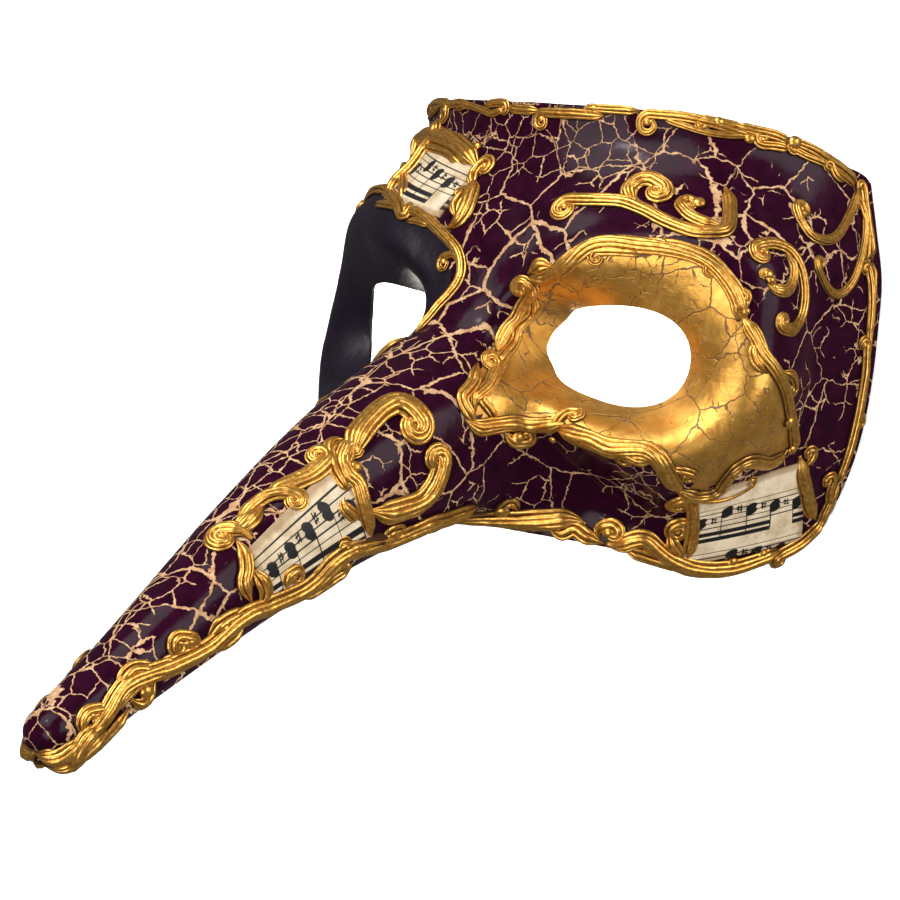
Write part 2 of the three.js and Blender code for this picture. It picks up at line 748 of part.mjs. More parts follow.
const giltMaterial = () => new THREE.MeshStandardMaterial({ color: GILT, roughness: 0.38, metalness: 0.9 });
const paintMaterial = () => new THREE.MeshStandardMaterial({ color: PAINT, roughness: 0.22, metalness: 0 });
const paperMaterial = () => new THREE.MeshStandardMaterial({ color: PAPER, roughness: 0.7, metalness: 0 });

const skin = skinRings();
const rimRing = skin[skin.length - 1];
const insideRim = skin[skin.length - 3];
const closedShell = shellBody(skin);
const shell = closedShell.subtract(eyeCutter(1)).subtract(eyeCutter(-1));
const clearance = clearanceBody(skin);
const facetedShell = meshOf('facets', closedShell, paintMaterial());

// The line of the rim braid, a little inside the edge all the way round
function braidLine() {
  const line = rimRing.map((point, i) => {
    const inward = insideRim[i].clone().sub(point).normalize();
    return onFacets(onSkin(point.clone().addScaledVector(inward, BRAID_INSET)));
  });
  return { points: thinned([...line, line[0]], true), section: BRAID, closed: true };
}

function faceLine(controls, section, closed = false) {
  return { points: skinPath(facePoint, controls, closed), section, closed };
}

function noseLine(controls, section) {
  return { points: skinPath(nosePoint, controls, false), section, closed: false };
}

// The braid round the rim with two scrolls growing from it at each temple
function rimLines() {
  const scrolls = [TEMPLE_UPPER, TEMPLE_LOWER, mirrored(TEMPLE_UPPER), mirrored(TEMPLE_LOWER)];
  return [braidLine(), ...scrolls.map((scroll) => faceLine(scroll, SCROLL))];
}

function eyeFrameLeftLines() {
  return [faceLine(EYE_FRAME, FRAME, true), ...CHEEK_POSTS.map((post) => faceLine(post, FRAME))];
}

function eyeFrameRightLines() {
  return [faceLine(EYE_FRAME_RIGHT, FRAME, true), faceLine(BROW_FRAME, FRAME, true)];
}

function browLines() {
  return [BROW_STEM, BROW_LEAF, BROW_CURL].map((line) => faceLine(line, SCROLL));
}

function commaLines() {
  return [COMMA, COMMA_INNER].map((line) => faceLine(line, SCROLL));
}

// One band along both sides of the nose and round its tip, the music patch's frame and two scrolls
function noseLines() {
  const otherSide = NOSE_BAND.map(([distance, angle]) => [distance, -180 - angle]).reverse();
  const scrolls = [NOSE_UPPER_SCROLL, NOSE_LOWER_SCROLL].map((line) => noseLine(line, SCROLL));
  return [noseLine([...NOSE_BAND, ...otherSide.slice(1)], BRAID), noseLine(NOSE_FRAME, FRAME), ...scrolls];
}

const onRim = rimLines();
const onEyeLeft = eyeFrameLeftLines();
const onEyeRight = eyeFrameRightLines();
const onNose = noseLines();

// Where two pieces meet, the one laid down first is cut back by a gap
const gilt = {
  gilt_rim_braid: piped(onRim),
  gilt_eye_frame_left: piped(onEyeLeft).subtract(piped(onRim, GAP)),
  gilt_eye_frame_right: piped(onEyeRight).subtract(piped(onRim, GAP)),
  gilt_brow_scroll: piped(browLines()),
  gilt_temple_comma: piped(commaLines()),
  gilt_nose_band: piped(onNose).subtract(piped(onRim, GAP)),
};

const cheekPaper = paperBody(facePoint, CHEEK_PAPER, 6, 5);
const papers = {
  music_paper_cheek: cheekPaper.subtract(piped(onEyeLeft, GAP)).subtract(piped(onRim, GAP)),
  music_paper_brow: paperBody(facePoint, BROW_PAPER, 4, 2).subtract(piped(onEyeRight, GAP)),
  music_paper_nose: paperBody(nosePoint, NOSE_PAPER, 4, 6).subtract(piped(onNose, GAP)),
};

const mask = new THREE.Group();
mask.add(meshOf('mask_shell', shell, paintMaterial()));
for (const [name, solid] of Object.entries(gilt)) {
  mask.add(meshOf(name, solid.subtract(clearance), giltMaterial()));
}
for (const [name, solid] of Object.entries(papers)) {
  mask.add(meshOf(name, solid.subtract(clearance), paperMaterial()));
}

// The origin is under the middle of the whole, on the plane that the rim rests on
const box = new THREE.Box3().setFromObject(mask);
const centre = box.getCenter(new THREE.Vector3());
mask.position.set(-centre.x, -centre.y, -RIM_PLANE);

const object = new THREE.Group();
object.add(mask);

export default object;
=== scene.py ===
"""A long-nosed Venetian half mask: crackled aubergine paint, piped gilt relief and music paper.

Sizes are in millimetres in the mask's own frame: x to the wearer's left, y up the face from the
pupils, z forward. A place on the face is its turn from straight ahead in degrees and its height;
a place on the nose is its distance along the axis and its angle about it in degrees.
"""

import math

import bpy
import numpy as np
from mathutils import Matrix, Vector


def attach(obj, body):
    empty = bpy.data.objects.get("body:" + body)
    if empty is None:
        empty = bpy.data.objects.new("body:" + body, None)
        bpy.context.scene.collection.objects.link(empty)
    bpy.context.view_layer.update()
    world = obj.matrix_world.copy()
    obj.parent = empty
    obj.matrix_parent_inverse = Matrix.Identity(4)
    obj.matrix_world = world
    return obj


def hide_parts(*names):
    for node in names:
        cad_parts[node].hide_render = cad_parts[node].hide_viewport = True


MM = 0.001

# From the mask's own frame to the row's, where the rim's sides lie on the ground
SHIFT = np.array([-0.942, 23.59, 2.3])
RIM_PLANE = -2.3

# The walls, as in the part
WALL_FACE = 3.0
WALL_NOSE = 2.2

# The plain body of the face: height, depth and half width. Both slopes bring the distances from the
# face and from the nose near to mm.
FACE_ROWS = np.array([
    [-75, 66, 54], [-50, 74, 66.5], [-25, 80, 77.2], [0, 85, 81.2],
    [25, 82, 80.2], [50, 68, 75.5], [72, 61, 71],
], float)
FACE_SQUARENESS = 2.35
FACE_SLOPE = 0.85

# The nose: place forward, height, half width and half height, from the root to the tip
NOSE_STATIONS = np.array([
    [52, -6, 27, 31], [68, -14, 26, 28], [118, -36, 21.2, 22.3],
    [158, -59, 15.8, 16.5], [204, -90.5, 10, 10.3], [227, -106.3, 8, 8.2],
], float)
NOSE_SQUARENESS = 2.4
NOSE_BLEND = 14.0
NOSE_SLOPE = 0.9
TIP_RADIUS = 8.0

# The rim: turn and height of its upper and lower edge
RIM_TOP = np.array([[0, 69.5], [45, 68.5], [70, 63.6], [91.6, 53.5]], float)
RIM_BOTTOM = np.array([
    [0, -52], [25, -53.5], [35, -55], [45, -58], [55, -60.5],
    [66, -59.8], [76, -57], [84, -52], [91.6, -42],
], float)
RIM_TURN = 91.6

# The eye holes, in mm along the face and up it, round a centre given by its turn and height. EYE_ARC
# is the radius that turns degrees into mm along the face.
EYE_TURN, EYE_HEIGHT = 31.0, 0.6
EYE_NOSE_SIDE, EYE_TEMPLE_SIDE, EYE_HALF_HEIGHT = 23.2, 23.0, 13.4
RIGHT_EYE_NOSE_SIDE, RIGHT_EYE_SQUARENESS = 24.5, 1.9
EYE_NOSE_SQUARENESS, EYE_TEMPLE_SQUARENESS = 2.4, 2.15
EYE_EGG, EYE_ARC = 0.28, 80.0
EYE_TILT = math.radians(-4.0)

# The hollow between each hole and the bridge, in the same measures
HOLLOW_DEPTH, HOLLOW_ACROSS, HOLLOW_UP = 10.0, -19.0, 2.0
HOLLOW_WIDTH, HOLLOW_HEIGHT = 7.5, 12.0

# The rolled lid round each hole: how far its edge and its crest stand off the plain body, how far
# out the crest runs, where 1 is the hole's edge, and how far out from there it has fallen away
TEMPLE_ANGLE, CHEEKBONE_ANGLE = math.radians(14), math.radians(50)
LID_EDGE, LID_EDGE_AT_TEMPLE, LID_EDGE_ABOVE, LID_EDGE_BELOW = -7.0, 6.5, 2.0, 3.0
LID_CREST, CREST_AT_TEMPLE, CREST_AT_CHEEKBONE, CREST_ABOVE = 4.5, 9.0, 4.0, -1.5
CREST_OUT, CREST_OUT_ABOVE, CREST_OUT_BELOW = 1.62, 0.55, 0.15
LID_FALL, LID_FALL_AT_TEMPLE = 0.85, 0.3

# The other forms, in mm off the plain body, and the brow's height over the eyes
TEAR_CORNER, BROW, BROW_FLARE, CHEEK_HOLLOW = -6.0, 6.0, 2.0, -5.0
BROW_HEIGHT, BROW_DROP = 37.0, 9.0

# The lips of the holes and of the rim: how much wider a hole is inside, how thin its wall is, how
# round a lip is, and how its edge is drawn
HOLE_FLARE = 1.6
LIP_SHARE = 0.55
LIP_BULGE = 0.5
EDGE_STEPS = 720
EVENING_ROUNDS = 20
SHARP_ANGLE = math.radians(24)

# Nothing of an eye hole or a socket lies further forward than this
HOLE_FRONT, SOCKET_FRONT = 110.0, 105.0

# How finely the shell is drawn: a coarse net, then each cell split
SEGMENTS = 60
TOP_STEPS = 10
SIDE_STEPS = 7
NOSE_RINGS = 12
FACE_RINGS = 12
TIP_SHARES = (0.9, 0.55)
SPLIT = 5
RELAX_PASSES = 24
EYE_FINENESS = 5.0
ROOT_MEAN, ROOT_SLANT = 60.0, 30.0

# Outlines of the two gilded and painted sockets
SOCKET_LEFT = [
    (18, 22), (25, 27), (33, 31), (41, 32), (48.5, 29), (53, 18), (60, 3), (66, -10), (71, -23), (65, -27),
    (57, -30), (51, -36), (45, -29), (38, -24), (29, -21), (21, -21), (14, -21), (11.8, -13), (10, -2),
    (10.8, 5.5), (14, 13),
]
SOCKET_RIGHT = [
    (-10, 32), (-18, 34.5), (-28, 38), (-39, 41), (-50, 40), (-59, 30), (-65, 16), (-69, 2), (-72, -10),
    (-72, -20), (-65, -27), (-55, -30), (-45, -27.5), (-38, -22.5), (-29, -18.5), (-21, -20.5), (-14, -21),
    (-11.8, -13), (-7.5, -2), (-4.8, 8), (-3.8, 18),
]

# Gilt lines: the kind of bundle, 2 narrow or 3 broad, the half width in mm, the volute's radius at
# each end, and the places they run through. A volute turns left of its way for a positive radius;
# 0 leaves a tapered point.
RIM_TOP_LINES = [
    (2, 1, 0, 0, [(-39.5, 67.5), (-33, 68), (-26.5, 68.5), (-21, 67.5)]),
    (2, 0.85, 0, 0, [(-29, 66.5), (-23.5, 68), (-17.5, 67), (-12.5, 66), (-8, 68)]),
    (2, 1, 0, -1.6, [(-17, 68), (-12.5, 69), (-9, 69)]),
    (2, 1.1, 0, 0, [(-8, 68), (-2.5, 67.5), (4, 67.5)]),
    (2, 1.1, 2.6, 0, [(6, 67), (14, 67), (20, 67), (24, 67)]),
    (2, 1, 1.2, 0, [(20, 69), (25.5, 69), (33, 69)]),
    (2, 1.1, 3.2, 0, [(36, 68.5), (41, 68.5), (45.5, 68), (50.5, 67), (55, 65.5), (58.5, 64.5)]),
    (2, 0.75, 0, 0, [(38.5, 67.5), (43, 66), (48, 64.5), (53.5, 64), (58.5, 64.5)]),
    (2, 1, 1.6, 0, [(48, 68), (51, 67.5), (54, 67), (57, 66.5)]),
    (2, 1.1, 0, 0, [(54.5, 67), (59, 66), (64, 65), (68, 63)]),
    (2, 1, 0, -2.3, [(68, 61.5), (64.5, 62), (61.5, 62)]),
    (2, 1.1, 1.8, 0, [(69.5, 63.5), (73.5, 62), (78, 59.5), (83, 56.5), (87, 53)]),
    (2, 0.85, 0, 0, [(66.5, 62.5), (71.5, 60), (77, 58), (82, 55), (86, 52)]),
    (2, 1, 0, 1.6, [(83, 53.5), (80, 55), (79, 57.5)]),
]
RIM_SIDE_LINES = [
    (2, 1.25, 1.2, 0, [(88.5, 52), (88.6, 48.5), (88.6, 44), (88.6, 38), (88.6, 31.5)]),
    (2, 1.05, 0, 1.4, [(86.5, 31), (88, 37.5), (88.5, 42.5), (87.5, 47.5)]),
    (2, 1.25, 1.5, 0, [(87, 29), (88, 23.5), (88.5, 16), (88.5, 9)]),
    (2, 1.05, 0, 0, [(88.6, 31.5), (88.6, 23.5), (88.6, 15), (88.6, 6), (88.6, -2.5)]),
    (2, 1.25, 1.5, 0, [(88, 7.5), (88.6, 0.5), (88.6, -7), (88.6, -14.5)]),
    (2, 1.25, 0, 0, [(88.6, -2), (88.6, -8.5), (88.6, -15.5), (88.6, -23), (88.6, -29)]),
    (2, 1.25, -1.6, 0, [(88.6, -15.5), (88.6, -22.5), (88.6, -28.5), (88.6, -33.5)]),
    (2, 1.25, 0, 2, [(88.6, -32), (88.6, -38), (87, -36), (86.5, -32.5)]),
    (3, 1.35, 0, 0, [(88.6, -36), (88.6, -42), (88.6, -45.5), (85.5, -50), (81.5, -52.5)]),
]
RIM_LOW_LINES = [
    (3, 2.4, 0, 0, [(-4, -49.5), (2, -49), (9, -49), (14.5, -49), (20, -48.5), (24.5, -48), (28, -49)]),
    (2, 1.7, 0, -1.6, [(-6, -50.5), (0, -50.5), (6, -50), (10, -49)]),
    (2, 1.4, 0, 0, [(9.5, -48), (12, -45), (13.5, -44), (14, -47)]),
    (2, 1.7, 0, 0, [(19.5, -50), (22.5, -52), (25.5, -50.5), (28.5, -52.5), (32.5, -54)]),
    (2, 1.8, 0, -2.2, [(31, -53), (31, -50), (33.5, -48.5)]),
    (3, 1.95, 0, 0, [(33, -54), (36, -54), (39.5, -52), (42, -51.5), (45, -54.5), (48, -57), (53, -59),
        (59, -59.5), (66, -58.5), (72.5, -56), (79, -53)]),
    (2, 1.4, 0, 0, [(37, -55), (41.5, -56.5), (46.5, -58), (52, -59.5)]),
    (3, 1.8, 1.8, 0, [(79, -54.5), (84.5, -51), (88.6, -45.5), (88.6, -42.5)]),
]
TEMPLE_LINES = [
    (3, 1.1, 0, -2.2, [(87, 52.5), (85.5, 48.5), (82.5, 43.5), (78.5, 38.5), (74.5, 36.5), (70.5, 37.5),
        (68.5, 41), (68, 44)]),
    (3, 1, 0, -1.8, [(89, 50), (88.5, 44.5), (87, 37.5), (84.5, 31), (82, 25.5), (79, 22), (76, 22),
        (73, 25.5), (71.5, 28.5)]),
]
EYE_LEFT_LINES = [
    (2, 1.6, 0, 0, [(15.5, 21), (18.5, 24), (21, 23.5)]),
    (3, 1.75, 0, 0, [(15, 19.5), (19.5, 20.5), (23, 24), (26, 28), (28.5, 30.5), (32, 31.5), (37, 31.5),
        (40.5, 31.5), (44, 31), (47.5, 29.5), (50, 27), (52.5, 22.5), (54, 18), (55, 12.5)]),
    (2, 1.1, 1.9, 0, [(29.5, 29), (33.5, 29.5), (38, 29.5)]),
    (2, 1.25, 2.2, 0, [(50.5, 27), (52.5, 22.5), (53.5, 18), (54, 12.5)]),
    (3, 1.5, 0, 0, [(54.5, 14), (56.5, 9.5), (58, 4.5), (60, 0.5), (62.5, -4.5), (65, -10.5), (68.5, -16),
        (71.5, -21), (72.5, -24.5)]),
    (2, 1.25, 0, 1.2, [(55.5, 12.5), (54.5, 16), (55, 19)]),
    (2, 1.25, 0, 0, [(57, 8), (56.5, 4), (57.5, 0.5), (59, -1)]),
    (2, 1.25, 0, -1.2, [(62, -0.5), (64.5, -2), (65.5, -4.5)]),
    (3, 1.6, 3, 0, [(15, 15.5), (13, 12), (11.5, 8), (10.5, 4.5), (10.5, 0), (11, -2)]),
    (2, 1.5, 0, 0, [(15.5, 15), (13.5, 10), (11.5, 5.5), (11.5, 1.5), (11.5, -3.5), (12, -6.5)]),
    (2, 1.1, 0, 0, [(12, 5), (11.5, 0), (12, -4.5), (12.5, -7.5)]),
    (3, 1.5, 2.6, 0, [(12, -6.5), (12.5, -11), (12, -14.5), (12.5, -18)]),
    (2, 1.5, 0, 0, [(10, -5), (11, -10.5), (11, -14.5), (12, -18.5), (13, -22)]),
    (2, 1.1, 0, 0, [(12.5, -7.5), (12.5, -11.5), (12.5, -14.5), (13.5, -17.5), (14.5, -20.5)]),
    (3, 1.75, 0, 0, [(12, -20.5), (13, -22.5), (14, -22), (16, -21), (19, -21), (23, -20.5), (26, -20)]),
    (2, 1.5, 0, 1.8, [(15, -23.5), (16, -26), (17.5, -26)]),
    (2, 1.25, 0, -1.9, [(21.5, -22), (24, -19.5), (25.5, -17), (27, -16.5)]),
    (3, 2, 0, 0, [(24, -21.5), (28, -22.5), (31.5, -23.5), (34.5, -25), (37.5, -25), (40.5, -25),
        (42.5, -26.5), (44, -29.5), (45.5, -33), (47.5, -36)]),
    (2, 1.5, 0, 2.1, [(42.5, -27), (40, -27.5), (38, -26.5)]),
    (3, 1.75, 0, 0, [(46.5, -35.5), (49.5, -37), (52.5, -37), (55, -35), (55.5, -31.5), (56.5, -28),
        (59, -26), (64, -27), (68, -25.5), (70, -23)]),
    (2, 1.1, 0, 1.9, [(50.5, -38.5), (54.5, -38.5), (58, -37.5), (61, -35.5), (62.5, -34)]),
    (2, 1.25, 0, -2, [(44.5, -29.5), (46.5, -29.5), (48, -30)]),
    (2, 1.5, 0, 0, [(49, -38), (51, -41.5), (52, -47), (52, -52.5), (52, -57.5)]),
    (2, 1.5, 0, 2.6, [(50.5, -39), (48.5, -38), (47, -39)]),
    (2, 1.5, 0, 2.4, [(52, -47), (49.5, -45.5), (48, -46.5)]),
    (2, 1.5, 0, 0, [(47, -48.5), (48, -52.5), (50, -55.5), (52, -57.5)]),
    (3, 1.75, 0, 0, [(74, -25), (76, -30.5), (78.5, -35), (82, -40), (86.5, -44)]),
    (2, 1.25, 0, 1.6, [(76, -28.5), (77, -27), (77.5, -25)]),
]
BROW_LINES = [
    (3, 1.55, 3.4, 0, [(21, 42.5), (27.5, 43), (32.5, 43), (37, 41), (41, 38.5), (45.5, 36.5), (49, 36.5),
        (51.5, 37.5), (52.5, 41), (53, 46), (52.5, 49.5)]),
    (3, 1.85, 0, -2.6, [(35, 42.5), (33, 46), (34.5, 49), (37, 50), (39.5, 48.5)]),
    (3, 1.45, 0, -2.4, [(51, 38.5), (48, 39), (45.5, 40.5), (44, 42.5)]),
]
COMMA_LINES = [
    (3, 1.4, 2.6, -1.9, [(57.5, 34), (60, 34.5), (63, 33.5), (65, 31), (66.5, 26.5), (67, 21),
        (66.5, 15.5), (64.5, 11.5), (62, 11.5)]),
    (3, 1.3, 0, 0, [(62.5, 32.5), (64, 29.5), (64, 25.5), (62.5, 22), (60, 22), (58.5, 23.5)]),
    (2, 0.9, 0, 1.2, [(60.5, 22.5), (59, 24.5), (58.5, 26)]),
]
BROW_PATCH_LINES = [
    (3, 2.3, 0, 0, [(-48, 50), (-48, 52.5), (-49.5, 57), (-39.5, 58.5), (-30, 57.5), (-22, 55.5),
        (-15.5, 52.5), (-11, 49.5)]),
    (2, 1.45, 0, 0, [(-47.5, 54.5), (-43, 55.5), (-31, 54.5), (-23, 53), (-17, 50)]),
    (2, 1.45, 0, -2.8, [(-8.5, 43.5), (-11, 47.5), (-11, 50)]),
    (3, 2.05, 0, 0, [(-10.5, 47), (-7.5, 42), (-6, 37), (-6.5, 34), (-9, 31.5)]),
    (2, 1.45, 0, 1.6, [(-8, 35), (-10, 38.5), (-10, 41)]),
    (2, 1.45, 0, 0, [(-27.5, 38.5), (-30, 42), (-39.5, 46.5), (-48, 50)]),
    (2, 1.1, 0, 0, [(-24.5, 36.5), (-30.5, 37), (-37, 37)]),
    (3, 2.05, 1.8, 0, [(-37, 59), (-38.5, 54), (-37.5, 49), (-38, 44), (-35, 38.5)]),
]
EYE_RIGHT_LINES = [
    (3, 1.3, 0, 0, [(-23.5, 35), (-20, 36), (-15.5, 34), (-11.5, 31.5), (-7, 28.5), (-3.5, 25.5),
        (-1.5, 21.5), (-1, 17.5), (-2, 13.5), (-3.5, 9.5), (-4, 5.5), (-4.5, 1.5)]),
    (2, 0.9, 0, 2.4, [(-1.5, 22), (-4, 24.5), (-6.5, 24)]),
    (2, 0.9, 0, 0, [(-21.5, 33), (-18, 33), (-14, 32)]),
]
NOSE_FRAME_LINES = [
    (3, 2.1, 0, 2.8, [(117.5, 66), (111.5, 63), (106.5, 57), (102, 53), (97.5, 53)]),
    (3, 1.8, 0, -2.4, [(126.5, 71), (120.5, 70), (115.5, 67), (112, 60), (110, 52)]),
    (3, 2.1, 0, 0, [(131, 70), (127.5, 62), (123, 61), (117.5, 63)]),
    (3, 2.1, 0, 3.2, [(128, 45), (128, 59), (130, 72)]),
    (2, 1.7, 0, 0, [(131, 56), (132.5, 40), (135, 27), (138, 16), (138, -8)]),
    (2, 1.8, 0, 0, [(134.5, 25), (133, 14), (133, -7), (137, -22)]),
    (2, 1.55, 0, 0, [(87.5, 57), (90, 62), (93.5, 58), (96.5, 44), (97, 28), (95.5, 20)]),
    (3, 1.8, -1.6, 0, [(89.5, 50), (93, 45), (94.5, 35), (93.5, 25), (94.5, 10), (95, -7), (95, -26)]),
    (2, 1.55, 0, 0, [(98, 25), (100.5, 17), (99, 5), (96.5, -7)]),
    (2, 1.55, 0, -1.8, [(126.5, -25), (125.5, -10), (123, -8)]),
    (2, 1.55, 0, 2, [(113, -32), (109, -24), (105.5, -22)]),
    (2, 1.55, 0, -2, [(90, -41), (89, -30), (85.5, -31)]),
    (2, 1.55, 0, 0, [(120.5, -51), (114.5, -55), (107, -49), (100.5, -48)]),
    (3, 2.6, 0, -3, [(91, 42), (85.5, 51), (80.5, 55), (74, 57), (69.5, 55), (67.5, 47), (67, 37)]),
    (3, 2.45, 0, 2.2, [(93.5, -1), (88.5, -11), (82.5, -16), (76.5, -18), (71.5, -14), (68, -6),
        (66, 2)]),
    (3, 2.2, 0, 0, [(139, -19), (134, -24), (128, -29), (121, -33), (115.5, -31), (110, -25),
        (104.5, -24), (97, -30), (89, -38), (83, -41), (77, -43), (70, -45), (64, -48), (57, -50),
        (50, -53)]),
]
GARLAND_LINES = [
    (3, 2.1, 0, 0, [(95, -33), (104, -25), (115, -36), (125, -34), (135.5, -23), (139.5, -18), (145, -16),
        (150, -18), (155, -20), (160, -17), (165, -11), (169, -6), (173, 2), (176, 8), (179.5, 14),
        (183.5, 16), (187, 12), (190.5, 4), (194, -4), (199, -12)]),
    (2, 1.7, 0, 0, [(139.5, -16), (145, -7), (151, -4), (155, -11)]),
    (2, 1.7, 0, 0, [(141.5, -24), (146, -31), (150.5, -34), (154.5, -34)]),
    (2, 1.7, 0, 2.4, [(157.5, -19), (159, 3), (161.5, 16)]),
    (2, 1.15, 0, 0, [(165, -5), (168.5, 5), (171.5, 3)]),
    (2, 1.7, 0, 0, [(171.5, -3), (175, 16), (178.5, 28), (183, 26), (186, 15)]),
    (2, 1.55, 0, 0, [(174, 0), (178.5, 7), (182.5, 6), (186.5, 2), (190.5, -6)]),
    (2, 1.8, 0, 0, [(174, -9), (177, -23), (180.5, -28), (183, -10)]),
    (2, 1.55, 0, -2.5, [(200.5, -8), (199.5, 17), (196.5, 25), (193.5, 18)]),
    (2, 1.55, 0, 0, [(191.5, 4), (194.5, -8), (199.5, -8), (204.5, 2)]),
    (3, 1.95, 0, 0, [(192, -30), (199, -34), (205, -44), (208, -62), (209, -90)]),
    (3, 1.95, 0, 0, [(200, -4), (206, -14), (211, -32), (213.5, -58), (214.5, -90)]),
    (3, 1.95, 0, 0, [(206, -6), (212, -14), (216, -36), (218, -60), (219, -90)]),
    (3, 2.1, 0, 0, [(193, -8), (200, -12), (204, -24), (205, -50), (205, -90)]),
    (2, 1.55, 0, -1.5, [(184, -22), (190, -34), (196, -46), (201, -66), (203, -90)]),
]

# The line round the right socket is cut into bars of this length, with hooks of these radii
BAR_LENGTH = 17.0
BAR_HALF = 1.5
BAR_HOOKS = (2.2, 0.0, -1.9, 0.0, 1.6)
BAR_LAP = 4.0
HIDDEN_EYE_PATH = [
    (-24, 35), (-28, 38), (-39, 41), (-50, 40), (-59, 30), (-65, 16), (-69, 2), (-72, -10), (-72, -20),
    (-65, -27), (-55, -30), (-45, -27.5), (-38, -22.5), (-29, -18.5), (-21, -20.5), (-14, -21),
    (-11.8, -13), (-8.5, -5), (-5, 2),
]

# Balls of gesso on the lines: place and radius
RIM_BUDS = [
    (21, 69, 1.2), (51, 67.5, 1.5), (68.5, 63.5, 1.9), (58, 63.5, 1.5), (11, -46.5, 2.2),
    (33.5, -50.5, 1.8), (64, -57, 1.7), (72.5, -54.5, 1.7),
]
EYE_LEFT_BUDS = [
    (41, 32.5, 1.3), (55, 15.5, 1.4), (66, -14.5, 2.0), (71, -23, 1.6), (16.5, -25, 2.0),
    (23, -24.5, 1.2), (59, 24.5, 1.3),
]
BROW_PATCH_BUDS = [(-15, 56, 1.4), (-28, 58.5, 1.5), (-42, 56, 1.5)]
BROW_BUDS = [(47, 44, 1.8), (34.5, 43.5, 1.4)]
COMMA_BUDS = [(58.5, 26, 1.4), (60, 22.5, 1.2)]
NOSE_BUDS = [
    (91.5, 36, 1.7), (125, -12, 1.6), (87, -33, 1.9), (104, -40, 1.5), (149, -12, 1.9),
    (160, 4, 2.0), (178, -14, 2.1), (195.5, 16, 1.3),
]

# How the gilt lines are drawn: steps in mm, and the volutes' and the tapered points' shape
LINE_STEP = 0.7
LINE_FINENESS = 10
VOLUTE_TURNS = 1.15
VOLUTE_STEPS = 22
VOLUTE_CLOSING = 0.72
VOLUTE_THINNING = 0.6
VOLUTE_BALL, VOLUTE_BALL_LEAST = 0.3, 0.25
POINT_LENGTH, POINT_SHARE = 3.2, 0.25

# The strands of each kind of bundle: place across the line and above the skin and radius, in half
# widths, and how deep a strand lies between the others
STRANDS = {
    2: ((0.0, -0.15, 0.76, 0.8), (-0.62, 0.24, 0.36, 0.0), (0.0, 0.55, 0.42, 0.0), (0.62, 0.24, 0.36, 0.0)),
    3: (
        (0.0, -0.15, 0.84, 0.8), (-0.78, 0.14, 0.27, 0.0), (-0.4, 0.44, 0.33, 0.0),
        (0.0, 0.6, 0.36, 0.0), (0.4, 0.44, 0.33, 0.0), (0.78, 0.14, 0.27, 0.0),
    ),
}
# How many sides a strand has, and how far its place and its thickness wander
STRAND_SIDES = 8
SIDE_SWING, THICKNESS_SWING = 0.85, 1.6
# A ball's place above the skin and its shape, in radii
BALL_LIFT, BALL_FLATNESS, BALL_LENGTH = 0.35, 0.8, 1.12
# How much dark wax and painted shade the gilt gets in the grooves, on the sides and close to the skin
GROOVE_WAX_AND_SHADE, SIDE_WAX_AND_SHADE, SKIN_WAX_AND_SHADE = 0.9, 0.85, 0.6

# Corners of the music paper
CHEEK_PAPER = [(51, -36.5), (74.5, -27), (84, -50), (50.5, -58.5)]
BROW_PAPER = [(-36, 57), (-9.5, 50), (-12.5, 34.5), (-36, 40)]
NOSE_PAPER = [(95.5, 48), (132, 41), (134, -22), (95, -26)]

# How finely a sheet is laid and printed, and how it lies on the skin, in mm
PAPER_CELLS = 12
PAPER_STEP = 0.22
PAPER_LIFT = 0.35
PAPER_THICKNESS = 0.5
PAPER_SINK = 0.5

# The print, in mm
STAFF_GAP = 1.85
STAFF_LINE = 0.15
STAFF_PITCH = 9.2 * STAFF_GAP
UPPER_START, LOWER_START = 3.5, 6.0
NOTE_PITCH = 7.4
NOTE_ACROSS, NOTE_UP, NOTE_SLANT = 1.75, 1.2, 0.25
STEM_HALF, STEM_BESIDE = 0.16, 1.4
BEAM_DROP = 8.2
BEAM_GAP = 2.2

# Colours, from dark to light where there are several
AUBERGINE = [(0.014, 0.001, 0.0065), (0.03, 0.002, 0.0145)]
CREAM = [(0.42, 0.2, 0.085), (0.66, 0.42, 0.23)]
SOCKET_LEAF = [(0.5, 0.23, 0.035), (0.66, 0.33, 0.06), (0.8, 0.44, 0.1)]
LEAF_CRACK = (0.1, 0.04, 0.012)
SOCKET_PAINT = [(0.004, 0.0015, 0.006), (0.009, 0.003, 0.012)]
PRIMER = [(0.8, 0.77, 0.7), (0.9, 0.88, 0.83)]
GILT = [(0.55, 0.24, 0.035), (0.76, 0.38, 0.07), (0.94, 0.57, 0.155)]
# Dark wax with painted shade, laid in the gilt's grooves, on its sides and at its foot
DARK_WAX_AND_SHADE = (0.075, 0.028, 0.008)
OLD_PAPER = [(0.48, 0.35, 0.19), (0.68, 0.54, 0.35), (0.78, 0.66, 0.47)]
WORN_EDGE = (0.3, 0.17, 0.07)
PAPER_SPECK = (0.16, 0.09, 0.04)
INK = (0.008, 0.006, 0.006)

# Cells of the crackle in mm, wide and fine, and where each pattern starts
WIDE_CELL, FINE_CELL = 20.0, 7.0
WIDE_START, FINE_START = 3.0, 31.0

# The camera, fitted to the photograph, whose width and focal length are in pixels
PHOTO_WIDTH, PHOTO_FOCAL_LENGTH = 900, 3988.7
VIEW_AZIMUTH, VIEW_ELEVATION, VIEW_ROLL = math.radians(43.76), math.radians(3.74), math.radians(4.22)
VIEW_TARGET = np.array([-5.9, -31.7, 80.0])
VIEW_DISTANCE = 1150.0
SENSOR_WIDTH = 36.0
FOCAL_LENGTH = SENSOR_WIDTH * PHOTO_FOCAL_LENGTH / PHOTO_WIDTH

# Lights as the camera sees them: name, right, up and towards the camera, distance, size and power
LIGHTS = [
    ("key", (-0.65, 1.0, 0.75), 1.2, 1.1, 15),
    ("glint", (-0.65, 1.0, 0.75), 1.15, 0.14, 2.0),
    ("fill", (0.95, 0.3, 0.7), 1.3, 0.9, 10),
    ("front", (-0.45, -0.25, 1.0), 1.5, 0.8, 9),
]

